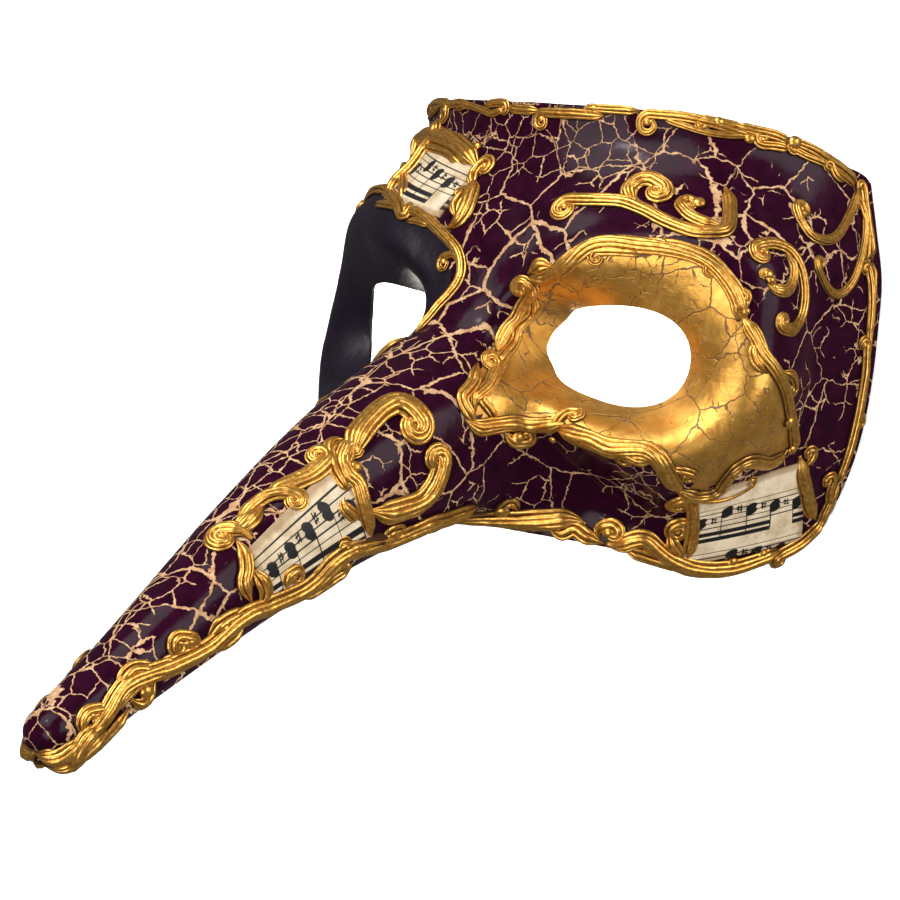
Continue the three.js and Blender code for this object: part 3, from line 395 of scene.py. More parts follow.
# The weak lamp behind the face, the room's own light, and the floor's half width and depth in m
INSIDE_LIGHT = np.array([-58.0, 2.0, 24.0])
INSIDE_POWER = 0.16
ROOM_BRIGHTNESS = 0.09
FLOOR_HALF = 6.0
FLOOR_DROP = 0.0002

# Four directions that give a slope from four values
TETRAHEDRON = np.array([[1, 1, 1], [1, -1, -1], [-1, 1, -1], [-1, -1, 1]], float)


def rise(low, high, x):
    """0 below low, 1 above high, and a smooth rise between them."""
    share = np.clip((x - low) / (high - low), 0, 1)
    return share * share * (3 - 2 * share)


def bump(x, width):
    """1 at 0, falling away smoothly on both sides."""
    return np.exp(-((x / width) ** 2))


def unit(vectors):
    return vectors / np.maximum(np.linalg.norm(vectors, axis=-1, keepdims=True), 1e-9)


def along(table, x):
    """A table's columns at x, on smooth curves through its rows."""
    at = table[:, 0]
    x = np.clip(np.asarray(x, float), at[0], at[-1])
    i = np.clip(np.searchsorted(at, x) - 1, 0, len(at) - 2)
    value = table[:, 1:]
    slope = np.empty_like(value)
    slope[1:-1] = (value[2:] - value[:-2]) / (at[2:] - at[:-2])[:, None]
    slope[0] = (value[1] - value[0]) / (at[1] - at[0])
    slope[-1] = (value[-1] - value[-2]) / (at[-1] - at[-2])
    span = (at[i + 1] - at[i])[..., None]
    s = ((x - at[i]) / (at[i + 1] - at[i]))[..., None]
    start = (2 * s**3 - 3 * s**2 + 1) * value[i] + (s**3 - 2 * s**2 + s) * span * slope[i]
    return start + (3 * s**2 - 2 * s**3) * value[i + 1] + (s**3 - s**2) * span * slope[i + 1]


def smoothed(points, closed, steps):
    """Points on smooth curves through rows of points, with so many steps between each two."""
    count = len(points)
    spans = count if closed else count - 1
    index = np.arange(spans)[:, None] + np.array([-1, 0, 1, 2])
    index = index % count if closed else np.clip(index, 0, count - 1)
    p0, p1, p2, p3 = (points[index[:, k]][:, None] for k in range(4))
    s = (np.arange(steps) / steps).reshape((1, steps) + (1,) * (points.ndim - 1))
    bend = (2 * p0 - 5 * p1 + 4 * p2 - p3) * s**2 + (3 * p1 - p0 - 3 * p2 + p3) * s**3
    rows = (0.5 * (2 * p1 + (p2 - p0) * s + bend)).reshape(-1, *points.shape[1:])
    return rows if closed else np.concatenate([rows, points[-1:]])


def evenly(points, step):
    """Points an even step apart along an open line."""
    run = np.concatenate([[0], np.cumsum(np.linalg.norm(np.diff(points, axis=0), axis=1))])
    at = np.linspace(0, run[-1], max(int(round(run[-1] / step)), 3) + 1)
    return np.column_stack([np.interp(at, run, column) for column in points.T])


def eye_place(turn, y):
    """How far out from the eye's middle, 1 on the hole's edge, and mm towards the temple and up."""
    across = np.radians(np.abs(turn) - EYE_TURN) * EYE_ARC
    up = y - EYE_HEIGHT
    u = across * math.cos(EYE_TILT) + up * math.sin(EYE_TILT)
    v = up * math.cos(EYE_TILT) - across * math.sin(EYE_TILT)
    nose_side = np.where(turn < 0, RIGHT_EYE_NOSE_SIDE, EYE_NOSE_SIDE)
    share = u / np.where(u < 0, nose_side, EYE_TEMPLE_SIDE)
    half_height = EYE_HALF_HEIGHT * (1 + EYE_EGG * np.clip(share, -1, 1))
    temple_squareness = np.where(turn < 0, RIGHT_EYE_SQUARENESS, EYE_TEMPLE_SQUARENESS)
    n = np.where(u < 0, EYE_NOSE_SQUARENESS, temple_squareness)
    return (np.abs(share) ** n + np.abs(v / half_height) ** n) ** (1 / n), u, v


def rolled_lid(rho, u, v):
    """The rolled skin round an eye hole: low at the hole's edge, with a crest outside it."""
    round_eye = np.arctan2(v * 1.4, u)
    temple = rise(0.4, 0.9, 0.5 + 0.5 * np.cos(round_eye + TEMPLE_ANGLE))
    cheekbone = rise(0.6, 1.0, 0.5 + 0.5 * np.cos(round_eye + CHEEKBONE_ANGLE))
    above = rise(0.2, 1.0, np.sin(round_eye))
    below = rise(0.2, 1.0, -np.sin(round_eye))
    edge = LID_EDGE + LID_EDGE_AT_TEMPLE * np.cos(round_eye)
    edge = edge + LID_EDGE_ABOVE * above + LID_EDGE_BELOW * below
    crest = LID_CREST + CREST_AT_TEMPLE * temple + CREST_AT_CHEEKBONE * cheekbone + CREST_ABOVE * above
    crest_at = CREST_OUT + CREST_OUT_ABOVE * above + CREST_OUT_BELOW * below
    climb = np.clip((rho - 1) / (crest_at - 1), -0.3, 1)
    inner = edge + (crest - edge) * np.sin(climb * math.pi / 2)
    fall = (rho - crest_at) / (LID_FALL + LID_FALL_AT_TEMPLE * temple)
    return np.where(rho < crest_at, inner, crest * (1 - rise(0, 1, fall)))


def modelling(turn, y):
    """How far the rolled lids, the tear corner, the brow and the cheek stand off the plain body."""
    rho, u, v = eye_place(turn, y)
    side = np.abs(turn)
    lid = rolled_lid(rho, u, v)
    clear_of_nose = rise(-36, -20, u)
    socket = lid * clear_of_nose + (1 - clear_of_nose) * np.minimum(lid, 0)
    tear_corner = TEAR_CORNER * bump(u + 26, 9) * bump(v + 5, 10)
    brow_height = BROW_HEIGHT - BROW_DROP * rise(50, 92, side)
    over_eye = (0.45 + 0.55 * rise(8, 30, side)) * (1 - 0.75 * rise(58, 88, side))
    brow = BROW * bump(y - brow_height, 14) * over_eye
    flare = BROW_FLARE * rise(58, 72, y)
    cheek_hollow = CHEEK_HOLLOW * bump(side - 30, 10) * bump(y + 44, 11)
    return socket + tear_corner + brow + flare + cheek_hollow


def turn_of(points):
    """The turn from straight ahead, in degrees, to the wearer's left."""
    return np.degrees(np.arctan2(points[..., 0], points[..., 2]))


def face_field(points):
    """How far outside the face's skin the points are, roughly."""
    x, y, z = points[..., 0], points[..., 1], points[..., 2]
    row = along(FACE_ROWS, y)
    depth, half = row[..., 0], row[..., 1]
    r = np.hypot(x, z) + 1e-9
    n = FACE_SQUARENESS
    body = ((np.abs(x) / r / half) ** n + (np.abs(z) / r / depth) ** n) ** (-1 / n)
    return (r - body - modelling(turn_of(points), y)) * FACE_SLOPE


def nose_rows():
    """The stations, each after its distance along the nose's axis."""
    steps = np.hypot(*np.diff(NOSE_STATIONS[:, :2], axis=0).T)
    return np.column_stack([np.concatenate([[0], np.cumsum(steps)]), NOSE_STATIONS])


NOSE_TABLE = nose_rows()
NOSE_LENGTH = NOSE_TABLE[-1, 0]
NOSE_AXIS = along(NOSE_TABLE, np.linspace(0, NOSE_LENGTH, 50))


def nose_field(points):
    """How far outside the nose's skin the points are, roughly."""
    x, y, z = points[..., 0], points[..., 1], points[..., 2]
    best = np.full(x.shape, np.inf)
    width, height, off, over = (np.zeros(x.shape) for _ in range(4))
    for a, b in zip(NOSE_AXIS[:-1], NOSE_AXIS[1:]):
        forward, up = b[0] - a[0], b[1] - a[1]
        length = math.hypot(forward, up)
        s = np.clip(((z - a[0]) * forward + (y - a[1]) * up) / length**2, 0, 1)
        dz = z - a[0] - s * forward
        dy = y - a[1] - s * up
        distance = dz * dz + dy * dy
        nearer = distance < best
        best = np.where(nearer, distance, best)
        width = np.where(nearer, a[2] + s * (b[2] - a[2]), width)
        height = np.where(nearer, a[3] + s * (b[3] - a[3]), height)
        off = np.where(nearer, (dy * forward - dz * up) / length, off)
        over = np.where(nearer, (dz * forward + dy * up) / length, over)
    n = NOSE_SQUARENESS
    cap = 0.5 * (width + height)
    e = (np.abs(x / width) ** n + np.abs(off / height) ** n + np.abs(over / cap) ** n) ** (1 / n)
    return (e - 1) * np.minimum(width, height) * NOSE_SLOPE


def skin_field(points):
    """Signed distance, roughly, outside the mask's skin."""
    face = face_field(points)
    nose = nose_field(points)
    mix = np.clip(0.5 + 0.5 * (nose - face) / NOSE_BLEND, 0, 1)
    blend = nose * (1 - mix) + face * mix - NOSE_BLEND * mix * (1 - mix)
    _, u, v = eye_place(turn_of(points), points[..., 1])
    hollow = bump(u - HOLLOW_ACROSS, HOLLOW_WIDTH) * bump(v - HOLLOW_UP, HOLLOW_HEIGHT)
    return blend + HOLLOW_DEPTH * hollow


def gradient(points, step=0.06):
    """The skin's slope at the points, and the field there."""
    values = [skin_field(points + corner * step) for corner in TETRAHEDRON]
    slope = sum(value[..., None] * corner for value, corner in zip(values, TETRAHEDRON)) / (4 * step)
    return slope, sum(values) / 4


def normals_at(points):
    return unit(gradient(points)[0])


def on_skin(points, steps=3):
    """The points moved on to the skin, straight up or down its slope."""
    moved = points.copy()
    for _ in range(steps):
        slope, value = gradient(moved)
        size = np.maximum((slope**2).sum(-1, keepdims=True), 0.05)
        moved = moved - slope * value[..., None] / size
    return moved


def reach(seeds, directions, start):
    """The first crossing of the skin from the seeds outwards."""
    inside = np.full(seeds.shape[:-1], float(start))
    going = np.ones(inside.shape, bool)
    while going.any():
        ahead = skin_field(seeds + directions * (inside + 1)[..., None])
        going &= ahead < 0
        inside = inside + going
    outside = inside + 1
    for _ in range(12):
        middle = 0.5 * (inside + outside)
        within = skin_field(seeds + directions * middle[..., None]) < 0
        inside = np.where(within, middle, inside)
        outside = np.where(within, outside, middle)
    return seeds + directions * inside[..., None]


def face_points(places):
    """Points of the face's skin from their turns and heights."""
    places = np.asarray(places, float)
    turn = np.radians(places[..., 0])
    zero = np.zeros_like(turn)
    seeds = np.stack([zero, places[..., 1], zero], -1)
    return reach(seeds, np.stack([np.sin(turn), zero, np.cos(turn)], -1), 30)


def nose_points(places):
    """Points of the nose's skin from distances along its axis and angles about it, and over its tip."""
    places = np.asarray(places, float)
    distance = np.minimum(places[..., 0], NOSE_LENGTH)
    here = along(NOSE_TABLE, distance)
    behind = along(NOSE_TABLE, distance - 1)
    ahead = along(NOSE_TABLE, np.minimum(distance + 1, NOSE_LENGTH))
    zero = np.zeros_like(distance)
    forward = unit(np.stack([zero, ahead[..., 1] - behind[..., 1], ahead[..., 0] - behind[..., 0]], -1))
    up = np.stack([zero, forward[..., 2], -forward[..., 1]], -1)
    seeds = np.stack([zero, here[..., 1], here[..., 0]], -1)
    tilt = np.arcsin(np.clip((places[..., 0] - NOSE_LENGTH) / TIP_RADIUS, 0, 1))[..., None]
    angle = np.radians(places[..., 1])[..., None]
    across = np.concatenate([np.cos(angle), np.zeros_like(angle), np.zeros_like(angle)], -1)
    direction = (across + up * np.sin(angle)) * np.cos(tilt) + forward * np.sin(tilt)
    return reach(seeds, direction, 1)


def to_row(points):
    """Points in the row's frame, in metres."""
    return (points + SHIFT) * MM


def rim_line():
    """The rim's outline: from the top centre round the wearer's left and back up the right."""
    half = SEGMENTS // 2
    bottom_steps = half - TOP_STEPS - SIDE_STEPS
    top_turns = RIM_TURN * np.arange(TOP_STEPS) / TOP_STEPS
    top = face_points(np.column_stack([top_turns, along(RIM_TOP, top_turns)[:, 0]]))
    share = np.arange(SIDE_STEPS + 1) / SIDE_STEPS
    heights = RIM_TOP[-1, 1] + (RIM_BOTTOM[-1, 1] - RIM_TOP[-1, 1]) * share
    zero = np.zeros_like(heights)
    seeds = np.stack([zero, heights, zero + RIM_PLANE], -1)
    side = reach(seeds, np.stack([zero + 1, zero, zero], -1), 30)
    bottom_turns = RIM_TURN * np.arange(bottom_steps - 1, -1, -1) / bottom_steps
    bottom = face_points(np.column_stack([bottom_turns, along(RIM_BOTTOM, bottom_turns)[:, 0]]))
    left = np.vstack([top, side, bottom])
    return np.vstack([left, left[-2:0:-1] * [-1, 1, 1]])


def on_side_edge(step):
    """Whether a column of the net ends on one of the rim's flat side edges."""
    k = np.where(step <= SEGMENTS / 2, step, SEGMENTS - step)
    return (k >= TOP_STEPS) & (k <= TOP_STEPS + SIDE_STEPS)


def fineness(points):
    """How strongly the net is drawn together: most round the eyes."""
    side = np.abs(turn_of(points))
    return 1 + EYE_FINENESS * bump(side - EYE_TURN - 3, 26) * bump(points[..., 1] + 2, 26)


def nose_rings():
    """Rings of skin points from the nose's tip to its root."""
    angles = 90 - 360 * np.arange(SEGMENTS) / SEGMENTS
    root = ROOT_MEAN - ROOT_SLANT * np.sin(np.radians(angles))
    distances = [np.full(SEGMENTS, NOSE_LENGTH + TIP_RADIUS * share) for share in TIP_SHARES]
    for k in range(NOSE_RINGS + 1):
        distances.append(NOSE_LENGTH + (root - NOSE_LENGTH) * k / NOSE_RINGS)
    return [nose_points(np.column_stack([distance, angles])) for distance in distances]


def coarse_net():
    """Rings of skin points from the nose's tip to the rim, spread out between the root and the rim."""
    rings = nose_rings()
    inner, rim = rings[-1], rim_line()
    inner_r, rim_r = (np.hypot(ring[:, 0], ring[:, 2]) for ring in (inner, rim))
    inner_turn, rim_turn = (np.arctan2(ring[:, 0], ring[:, 2]) for ring in (inner, rim))
    face = [inner]
    for k in range(1, FACE_RINGS):
        share = k / FACE_RINGS
        r = inner_r + (rim_r - inner_r) * share
        turn = inner_turn + (rim_turn - inner_turn) * share
        y = inner[:, 1] + (rim[:, 1] - inner[:, 1]) * share
        face.append(np.stack([r * np.sin(turn), y, r * np.cos(turn)], -1))
    face = np.stack([*face, rim])
    for _ in range(RELAX_PASSES):
        middle = face[1:-1]
        around = [np.roll(middle, 1, 1), np.roll(middle, -1, 1), face[:-2], face[2:]]
        pulls = [fineness(0.5 * (middle + other))[..., None] for other in around]
        mean = sum(pull * other for pull, other in zip(pulls, around)) / sum(pulls)
        face[1:-1] = on_skin(0.7 * mean + 0.3 * middle, 1)
    return np.concatenate([np.stack(rings[:-1]), face])


def skin_net():
    """The fine net of skin points, and which of its columns end on the flat side edges of the rim."""
    net = smoothed(coarse_net(), False, SPLIT)
    net = smoothed(net.transpose(1, 0, 2), True, SPLIT).transpose(1, 0, 2)
    rim = net[-1].copy()
    net = on_skin(net, 2)
    flat = on_side_edge(np.arange(net.shape[1]) / SPLIT)
    net[-1, flat] = rim[flat]
    net[-1, flat, 2] = RIM_PLANE
    return net, flat


def sheet_quads(rings, count):
    """The faces between closed rings of so many points each."""
    k, i = np.meshgrid(np.arange(rings - 1), np.arange(count), indexing="ij")
    j = (i + 1) % count
    quads = np.stack([k * count + i, (k + 1) * count + i, (k + 1) * count + j, k * count + j], -1)
    return quads.reshape(-1, 4)


def inside_polygon(places, polygon):
    inside = np.zeros(len(places), bool)
    x, y = places[:, 0], places[:, 1]
    previous = np.roll(polygon, 1, axis=0)
    for (ax, ay), (bx, by) in zip(polygon, previous):
        crosses = (ay > y) != (by > y)
        inside ^= crosses & (x < (bx - ax) * (y - ay) / (by - ay + 1e-12) + ax)
    return inside


def in_order(edges):
    """The vertices of closed loops made of edges, each loop in order."""
    following = {a: b for a, b in edges}
    loops = []
    while following:
        start, at = following.popitem()
        loop = [start]
        while at != start:
            loop.append(at)
            at = following.pop(at)
        loops.append(np.array(loop))
    return loops


def open_edges(quads):
    """The directed edges that only one face uses."""
    edges = np.vstack([quads[:, [k, (k + 1) % 4]] for k in range(4)])
    seen = set(map(tuple, edges))
    return [edge for edge in map(tuple, edges) if (edge[1], edge[0]) not in seen]


def on_hole_edge(points):
    """Points near an eye hole moved out or in to its edge."""
    turns, heights = turn_of(points), points[:, 1]
    for _ in range(5):
        rho, u, v = eye_place(turns, heights)
        across = (u * math.cos(EYE_TILT) - v * math.sin(EYE_TILT)) / rho
        heights = EYE_HEIGHT + (u * math.sin(EYE_TILT) + v * math.cos(EYE_TILT)) / rho
        turns = np.sign(turns) * (EYE_TURN + np.degrees(across / EYE_ARC))
    return face_points(np.column_stack([turns, heights]))


def even_edge(line):
    """A hole's edge as evenly spaced points, each as near as can be to the one it replaces."""
    angles = np.linspace(0, 2 * math.pi, EDGE_STEPS + 1)
    around = np.column_stack([EYE_TURN + 10 * np.cos(angles), EYE_HEIGHT + 10 * np.sin(angles)])
    edge = on_hole_edge(face_points(around * [np.sign(line[0, 0]), 1]))
    run = np.concatenate([[0], np.cumsum(np.linalg.norm(np.diff(edge, axis=0), axis=1))])
    nearest = np.linalg.norm(line[:, None] - edge, axis=2).argmin(1)
    spots = np.unwrap(run[nearest], period=run[-1])
    steps = np.arange(len(line)) * math.copysign(run[-1] / len(line), spots[-1] - spots[0])
    spots = (steps + (spots - steps).mean()) % run[-1]
    return np.column_stack([np.interp(spots, run, edge[:, axis]) for axis in range(3)])


def settled_net(points, quads, loops, near):
    """The net round the eye holes, evened out after its edge has been moved to the holes' edge."""
    inside = near.copy()
    for loop in loops:
        inside[loop] = False
    pairs = np.vstack([quads[:, [k, (k + 1) % 4]] for k in range(4)])
    pairs = pairs[inside[pairs[:, 0]]]
    count = np.bincount(pairs[:, 0], minlength=len(points))[:, None]
    inside = inside & (count[:, 0] > 0)
    for loop in loops:
        points[loop] = even_edge(points[loop])
    for _ in range(EVENING_ROUNDS):
        total = np.zeros_like(points)
        np.add.at(total, pairs[:, 0], points[pairs[:, 1]])
        points[inside] = 0.5 * (points[inside] + total[inside] / count[inside])
    points[inside] = on_skin(points[inside], 2)
    return points


def from_hole(points, step=0.1):
    """The way from the eye hole's middle at each point."""
    total = 0
    for corner in TETRAHEDRON:
        moved = points + corner * step
        total = total + eye_place(turn_of(moved), moved[:, 1])[0][:, None] * corner
    return unit(total)


def rounded_edge(outer, inner, flat):
    """Rings of points over the wall's edge from its outer to its inner line, plain where it is flat."""
    outward = outer - inner
    ahead = np.roll(outer, -1, 0) - np.roll(outer, 1, 0)
    away = unit(np.cross(ahead, outward))
    away[flat] = 0
    size = np.linalg.norm(outward, axis=1, keepdims=True) * 0.5 * LIP_BULGE
    rings = []
    for angle in np.radians([45, 90, 135]):
        middle = 0.5 * (outer + inner) + outward * 0.5 * math.cos(angle)
        rings.append(middle + away * size * math.sin(angle))
    return rings


def inside_of(points, normals, rho, on_face):
    """The inside of the wall, which is thinner and wider round the eye holes."""
    wall = WALL_FACE + (WALL_NOSE - WALL_FACE) * rise(90, 125, points[:, 2])
    wall = wall * np.where(on_face, LIP_SHARE + (1 - LIP_SHARE) * rise(1.0, 1.45, rho), 1)
    widened = np.where(on_face, HOLE_FLARE * (1 - rise(1.0, 1.5, rho)), 0)
    return points - unit(normals) * wall[:, None] + from_hole(points) * widened[:, None]


def band(first, second):
    """The faces between two closed lines of vertices."""
    return np.column_stack([first, second, np.roll(second, -1), np.roll(first, -1)])


def tip_fans(count, total):
    """Triangles that close the nose's tip, outside and inside."""
    i = np.arange(count)
    j = (i + 1) % count
    outer = np.column_stack([i, j, np.full(count, 2 * total)])
    inner = np.column_stack([j + total, i + total, np.full(count, 2 * total + 1)])
    return np.vstack([outer, inner])


def shell_mesh(net, flat):
    """The papier-mâché: skin, inside, rounded lips round the eye holes and the rim."""
    rings, count = net.shape[:2]
    points = net.reshape(-1, 3).copy()
    total = len(points)
    rim = np.arange(total - count, total)
    rho = eye_place(turn_of(points), points[:, 1])[0]
    on_face = (points[:, 2] < HOLE_FRONT) & (np.abs(turn_of(points)) > 2)
    quads = sheet_quads(rings, count)
    quads = quads[(rho[quads].mean(1) > 1) | ~on_face[quads].all(1)]
    loops = in_order(open_edges(quads))
    holes = [loop for loop in loops if loop.min() >= count and loop.max() < rim[0]]
    points = settled_net(points, quads, holes, on_face & (rho < 1.3) & (rho > 0.9))
    normals = normals_at(points)
    normals[rim[flat], 2] = 0
    inner = inside_of(points, normals, rho, on_face)
    tip = nose_points([(NOSE_LENGTH + TIP_RADIUS, 0)])
    vertices = [points, inner, tip, tip - [0, 0, WALL_NOSE]]
    faces = [quads, quads[:, ::-1] + total]
    used = 2 * total + 2
    nowhere = np.zeros(0, int)
    for loop, kept_flat in [(hole, nowhere) for hole in holes] + [(rim[::-1], flat[::-1])]:
        previous = loop
        for ring in rounded_edge(points[loop], inner[loop], kept_flat):
            ids = used + np.arange(len(loop))
            vertices.append(ring)
            faces.append(band(previous, ids))
            used += len(loop)
            previous = ids
        faces.append(band(previous, loop + total))
    return np.vstack(vertices), np.vstack(faces), tip_fans(count, total), total


def without_loose(vertices, quads, triangles):
    """The vertices that faces use, the faces renumbered, and the vertices' old numbers."""
    used = np.unique(np.concatenate([quads.ravel(), triangles.ravel()]))
    number = np.full(len(vertices), -1)
    number[used] = np.arange(len(used))
    return vertices[used], [*number[quads].tolist(), *number[triangles].tolist()], used


def linked(name, data):
    thing = bpy.data.objects.new(name, data)
    bpy.context.scene.collection.objects.link(thing)
    return thing


def make_object(name, vertices, faces):
    mesh = bpy.data.meshes.new(name)
    mesh.from_pydata(to_row(np.asarray(vertices)).tolist(), [], faces)
    mesh.polygons.foreach_set("use_smooth", [True] * len(mesh.polygons))
    mesh.update()
    return linked(name, mesh)


def set_float(mesh, name, values):
    attribute = mesh.attributes.new(name, "FLOAT", "POINT")
    attribute.data.foreach_set("value", np.asarray(values, np.float32))


def set_vector(mesh, name, values):
    attribute = mesh.attributes.new(name, "FLOAT_VECTOR", "POINT")
    attribute.data.foreach_set("vector", np.asarray(values, np.float32).ravel())


def finished(thing, node_name):
    """Puts a finished piece in the place of its solid."""
    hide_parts(node_name)
    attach(thing, "root")


def boldness(points):
    """Where the cracks are wide: on the bridge, the brow and along the ridge of the nose."""
    turn, y, z = turn_of(points), points[:, 1], points[:, 2]
    bridge = bump(turn - 8, 20) * bump(y - 20, 28)
    brow = 0.7 * bump(y - 40, 12) * rise(10, 25, turn) * (1 - rise(70, 85, turn))
    nose = 0.42 * rise(90, 120, z)
    forehead = 0.3 * rise(45, 60, y) * (1 - rise(25, 45, turn))
    return np.clip(0.22 + bridge + brow + nose - forehead, 0, 1)


def crazing(points):
    """Where many small cracks lie between the wide ones: the forehead's middle and the nose's upper side."""
    turn, y = turn_of(points), points[:, 1]
    forehead = rise(46, 56, y) * (1 - rise(22, 40, turn))
    off_axis = points[:, 0] / np.maximum(np.abs(points[:, 0]).max(), 1)
    nose = rise(95, 115, points[:, 2]) * (1 - rise(0.02, 0.12, off_axis))
    return np.clip(0.25 + forehead + nose, 0, 1)


def in_socket(places, outline):
    """Which places lie inside a socket's rounded outline."""
    return inside_polygon(places, smoothed(np.array(outline, float), True, 8))


def paint_zones(mesh, used, total):
    """Each face's material: crackle 0, gold socket 1, dark socket 2 and inside 3."""
    centres = np.array([face.center for face in mesh.polygons]) / MM - SHIFT
    outside = used[[min(face.vertices) for face in mesh.polygons]] < total
    on_edge = used[[max(face.vertices) for face in mesh.polygons]] > 2 * total + 1
    places = np.column_stack([turn_of(centres), centres[:, 1]])
    rho = eye_place(places[:, 0], places[:, 1])[0]
    low_part = centres[:, 2] < SOCKET_FRONT
    lip = on_edge & low_part & (rho < 1.5)
    zone = np.zeros(len(mesh.polygons), np.int32)
    zone[in_socket(places, SOCKET_LEFT) & low_part] = 1
    zone[in_socket(places, SOCKET_RIGHT) & low_part] = 2
    zone[~outside] = 3
    zone[on_edge] = 0
    zone[lip & (places[:, 0] > 0)] = 1
    zone[lip & (places[:, 0] < 0)] = 2
    return zone


def build_shell(net, flat):
    vertices, quads, fans, total = shell_mesh(net, flat)
    vertices, faces, used = without_loose(vertices, quads, fans)
    shell = make_object("mask_shell_skin", vertices, faces)
    mesh = shell.data
    set_float(mesh, "bold", boldness(vertices))
    set_float(mesh, "crazed", crazing(vertices))
    for make in (crackle_paint, socket_gold, socket_dark, inside_primer):
        mesh.materials.append(make())
    mesh.polygons.foreach_set("material_index", paint_zones(mesh, used, total))
    mesh.set_sharp_from_angle(angle=SHARP_ANGLE)
    finished(shell, "mask_shell")


def node(tree, kind, **values):
    made = tree.nodes.new(kind)
    for key, value in values.items():
        setattr(made, key, value)
    return made


def put(tree, socket, value):
    """Links a socket to another or sets its value."""
    if isinstance(value, bpy.types.NodeSocket):
        tree.links.new(value, socket)
    else:
        socket.default_value = value


def math_node(tree, operation, *values):
    made = node(tree, "ShaderNodeMath", operation=operation)
    for socket, value in zip(made.inputs, values):
        put(tree, socket, value)
    return made.outputs[0]


def product(tree, *values):
    result = values[0]
    for value in values[1:]:
        result = math_node(tree, "MULTIPLY", result, value)
    return result


def total_of(tree, *values):
    result = values[0]
    for value in values[1:]:
        result = math_node(tree, "ADD", result, value)
    return result


def vector_node(tree, operation, first, second):
    made = node(tree, "ShaderNodeVectorMath", operation=operation)
    put(tree, made.inputs[0], first)
    put(tree, made.inputs[3 if operation == "SCALE" else 1], second)
    return made.outputs[0]


def material(name):
    """A new material with its node tree and its shader."""
    made = bpy.data.materials.new(name)
    made.use_nodes = True
    tree = made.node_tree
    return made, tree, tree.nodes["Principled BSDF"]


def object_place(tree):
    """The place on the object in mm."""
    coordinates = node(tree, "ShaderNodeTexCoord")
    return vector_node(tree, "SCALE", coordinates.outputs["Object"], 1 / MM)


def noise(tree, place, scale, detail=3.0, roughness=0.55):
    made = node(tree, "ShaderNodeTexNoise")
    tree.links.new(place, made.inputs["Vector"])
    made.inputs["Scale"].default_value = scale
    made.inputs["Detail"].default_value = detail
    made.inputs["Roughness"].default_value = roughness
    return made


def grain(tree, place, scale, detail=3.0, roughness=0.55):
    return noise(tree, place, scale, detail, roughness).outputs["Fac"]


def ramp(tree, value, colours, low=0.3, high=0.7):
    """The colours in turn as the value goes from low to high."""
    made = node(tree, "ShaderNodeValToRGB")
    tree.links.new(value, made.inputs[0])
    elements = made.color_ramp.elements
    while len(elements) < len(colours):
        elements.new(0.5)
    for element, position, colour in zip(elements, np.linspace(low, high, len(colours)), colours):
        element.position = position
        element.color = (*colour, 1)
    return made.outputs[0]


def fade(tree, value, low, high, to_low=0.0, to_high=1.0):
    """A smooth change from one value to another as the first goes from low to high."""
    made = node(tree, "ShaderNodeMapRange", interpolation_type="SMOOTHSTEP")
    put(tree, made.inputs["Value"], value)
    put(tree, made.inputs["From Min"], low)
    put(tree, made.inputs["From Max"], high)
    put(tree, made.inputs["To Min"], to_low)
    put(tree, made.inputs["To Max"], to_high)
    return made.outputs["Result"]


def mixed(tree, share, first, second):
    made = node(tree, "ShaderNodeMix", data_type="RGBA")
    put(tree, made.inputs[0], share)
    for spot, colour in ((6, first), (7, second)):
        if isinstance(colour, tuple):
            colour = (*colour, 1)
        put(tree, made.inputs[spot], colour)
    return made.outputs[2]


def warped(tree, place, scale, amount):
    """The place moved about by up to half the amount, in mm."""
    colour = noise(tree, place, scale, 3, 0.6).outputs["Color"]
    shift = vector_node(tree, "SUBTRACT", colour, (0.5, 0.5, 0.5))
    return vector_node(tree, "ADD", place, vector_node(tree, "SCALE", shift, amount))


def cells(tree, place, size, start, feature):
    """A pattern of cells about so many mm across."""
    made = node(tree, "ShaderNodeTexVoronoi", feature=feature)
    tree.links.new(vector_node(tree, "ADD", place, (start, start * 0.7, -start)), made.inputs["Vector"])
    made.inputs["Scale"].default_value = 1 / size
    made.inputs["Randomness"].default_value = 0.95
    return made.outputs


def cracks(tree, place, size, start):
    """Distance in mm to the nearest crack between such cells."""
    distance = cells(tree, place, size, start, "DISTANCE_TO_EDGE")["Distance"]
    return math_node(tree, "MULTIPLY", distance, size)


def crack_mark(tree, distance, half):
    """1 in a crack of this half width in mm and 0 beside it, with a narrow soft edge."""
    return fade(tree, distance, half, total_of(tree, half, 0.11), 1.0, 0.0)


def attribute(tree, name):
    return node(tree, "ShaderNodeAttribute", attribute_name=name).outputs["Fac"]


def bumped(tree, bsdf, height, distance):
    made = node(tree, "ShaderNodeBump")
    made.inputs["Distance"].default_value = distance
    tree.links.new(height, made.inputs["Height"])
    tree.links.new(made.outputs[0], bsdf.inputs["Normal"])


def wide_cracks(tree, place, bent, bold):
    """Wide cracks round the large cells, wider where the paint is bold."""
    swelling = fade(tree, grain(tree, place, 0.09, 3), 0.32, 0.66, 0.4, 1.2)
    half = product(tree, total_of(tree, 0.06, product(tree, bold, 0.4)), swelling)
    return crack_mark(tree, cracks(tree, bent, WIDE_CELL, WIDE_START), half)


def fine_cracks(tree, place, bent, bold):
    """Fine cracks in patches: outside them their half width is below 0."""
    crazed = product(tree, attribute(tree, "crazed"), 0.4)
    patchy = fade(tree, total_of(tree, grain(tree, place, 0.08, 2), crazed), 0.54, 0.66)
    half = product(tree, patchy, total_of(tree, 0.06, product(tree, bold, 0.12)))
    outside = total_of(tree, 1.0, product(tree, patchy, -1.0))
    half = total_of(tree, half, product(tree, outside, -0.3))
    return crack_mark(tree, cracks(tree, bent, FINE_CELL, FINE_START), half)


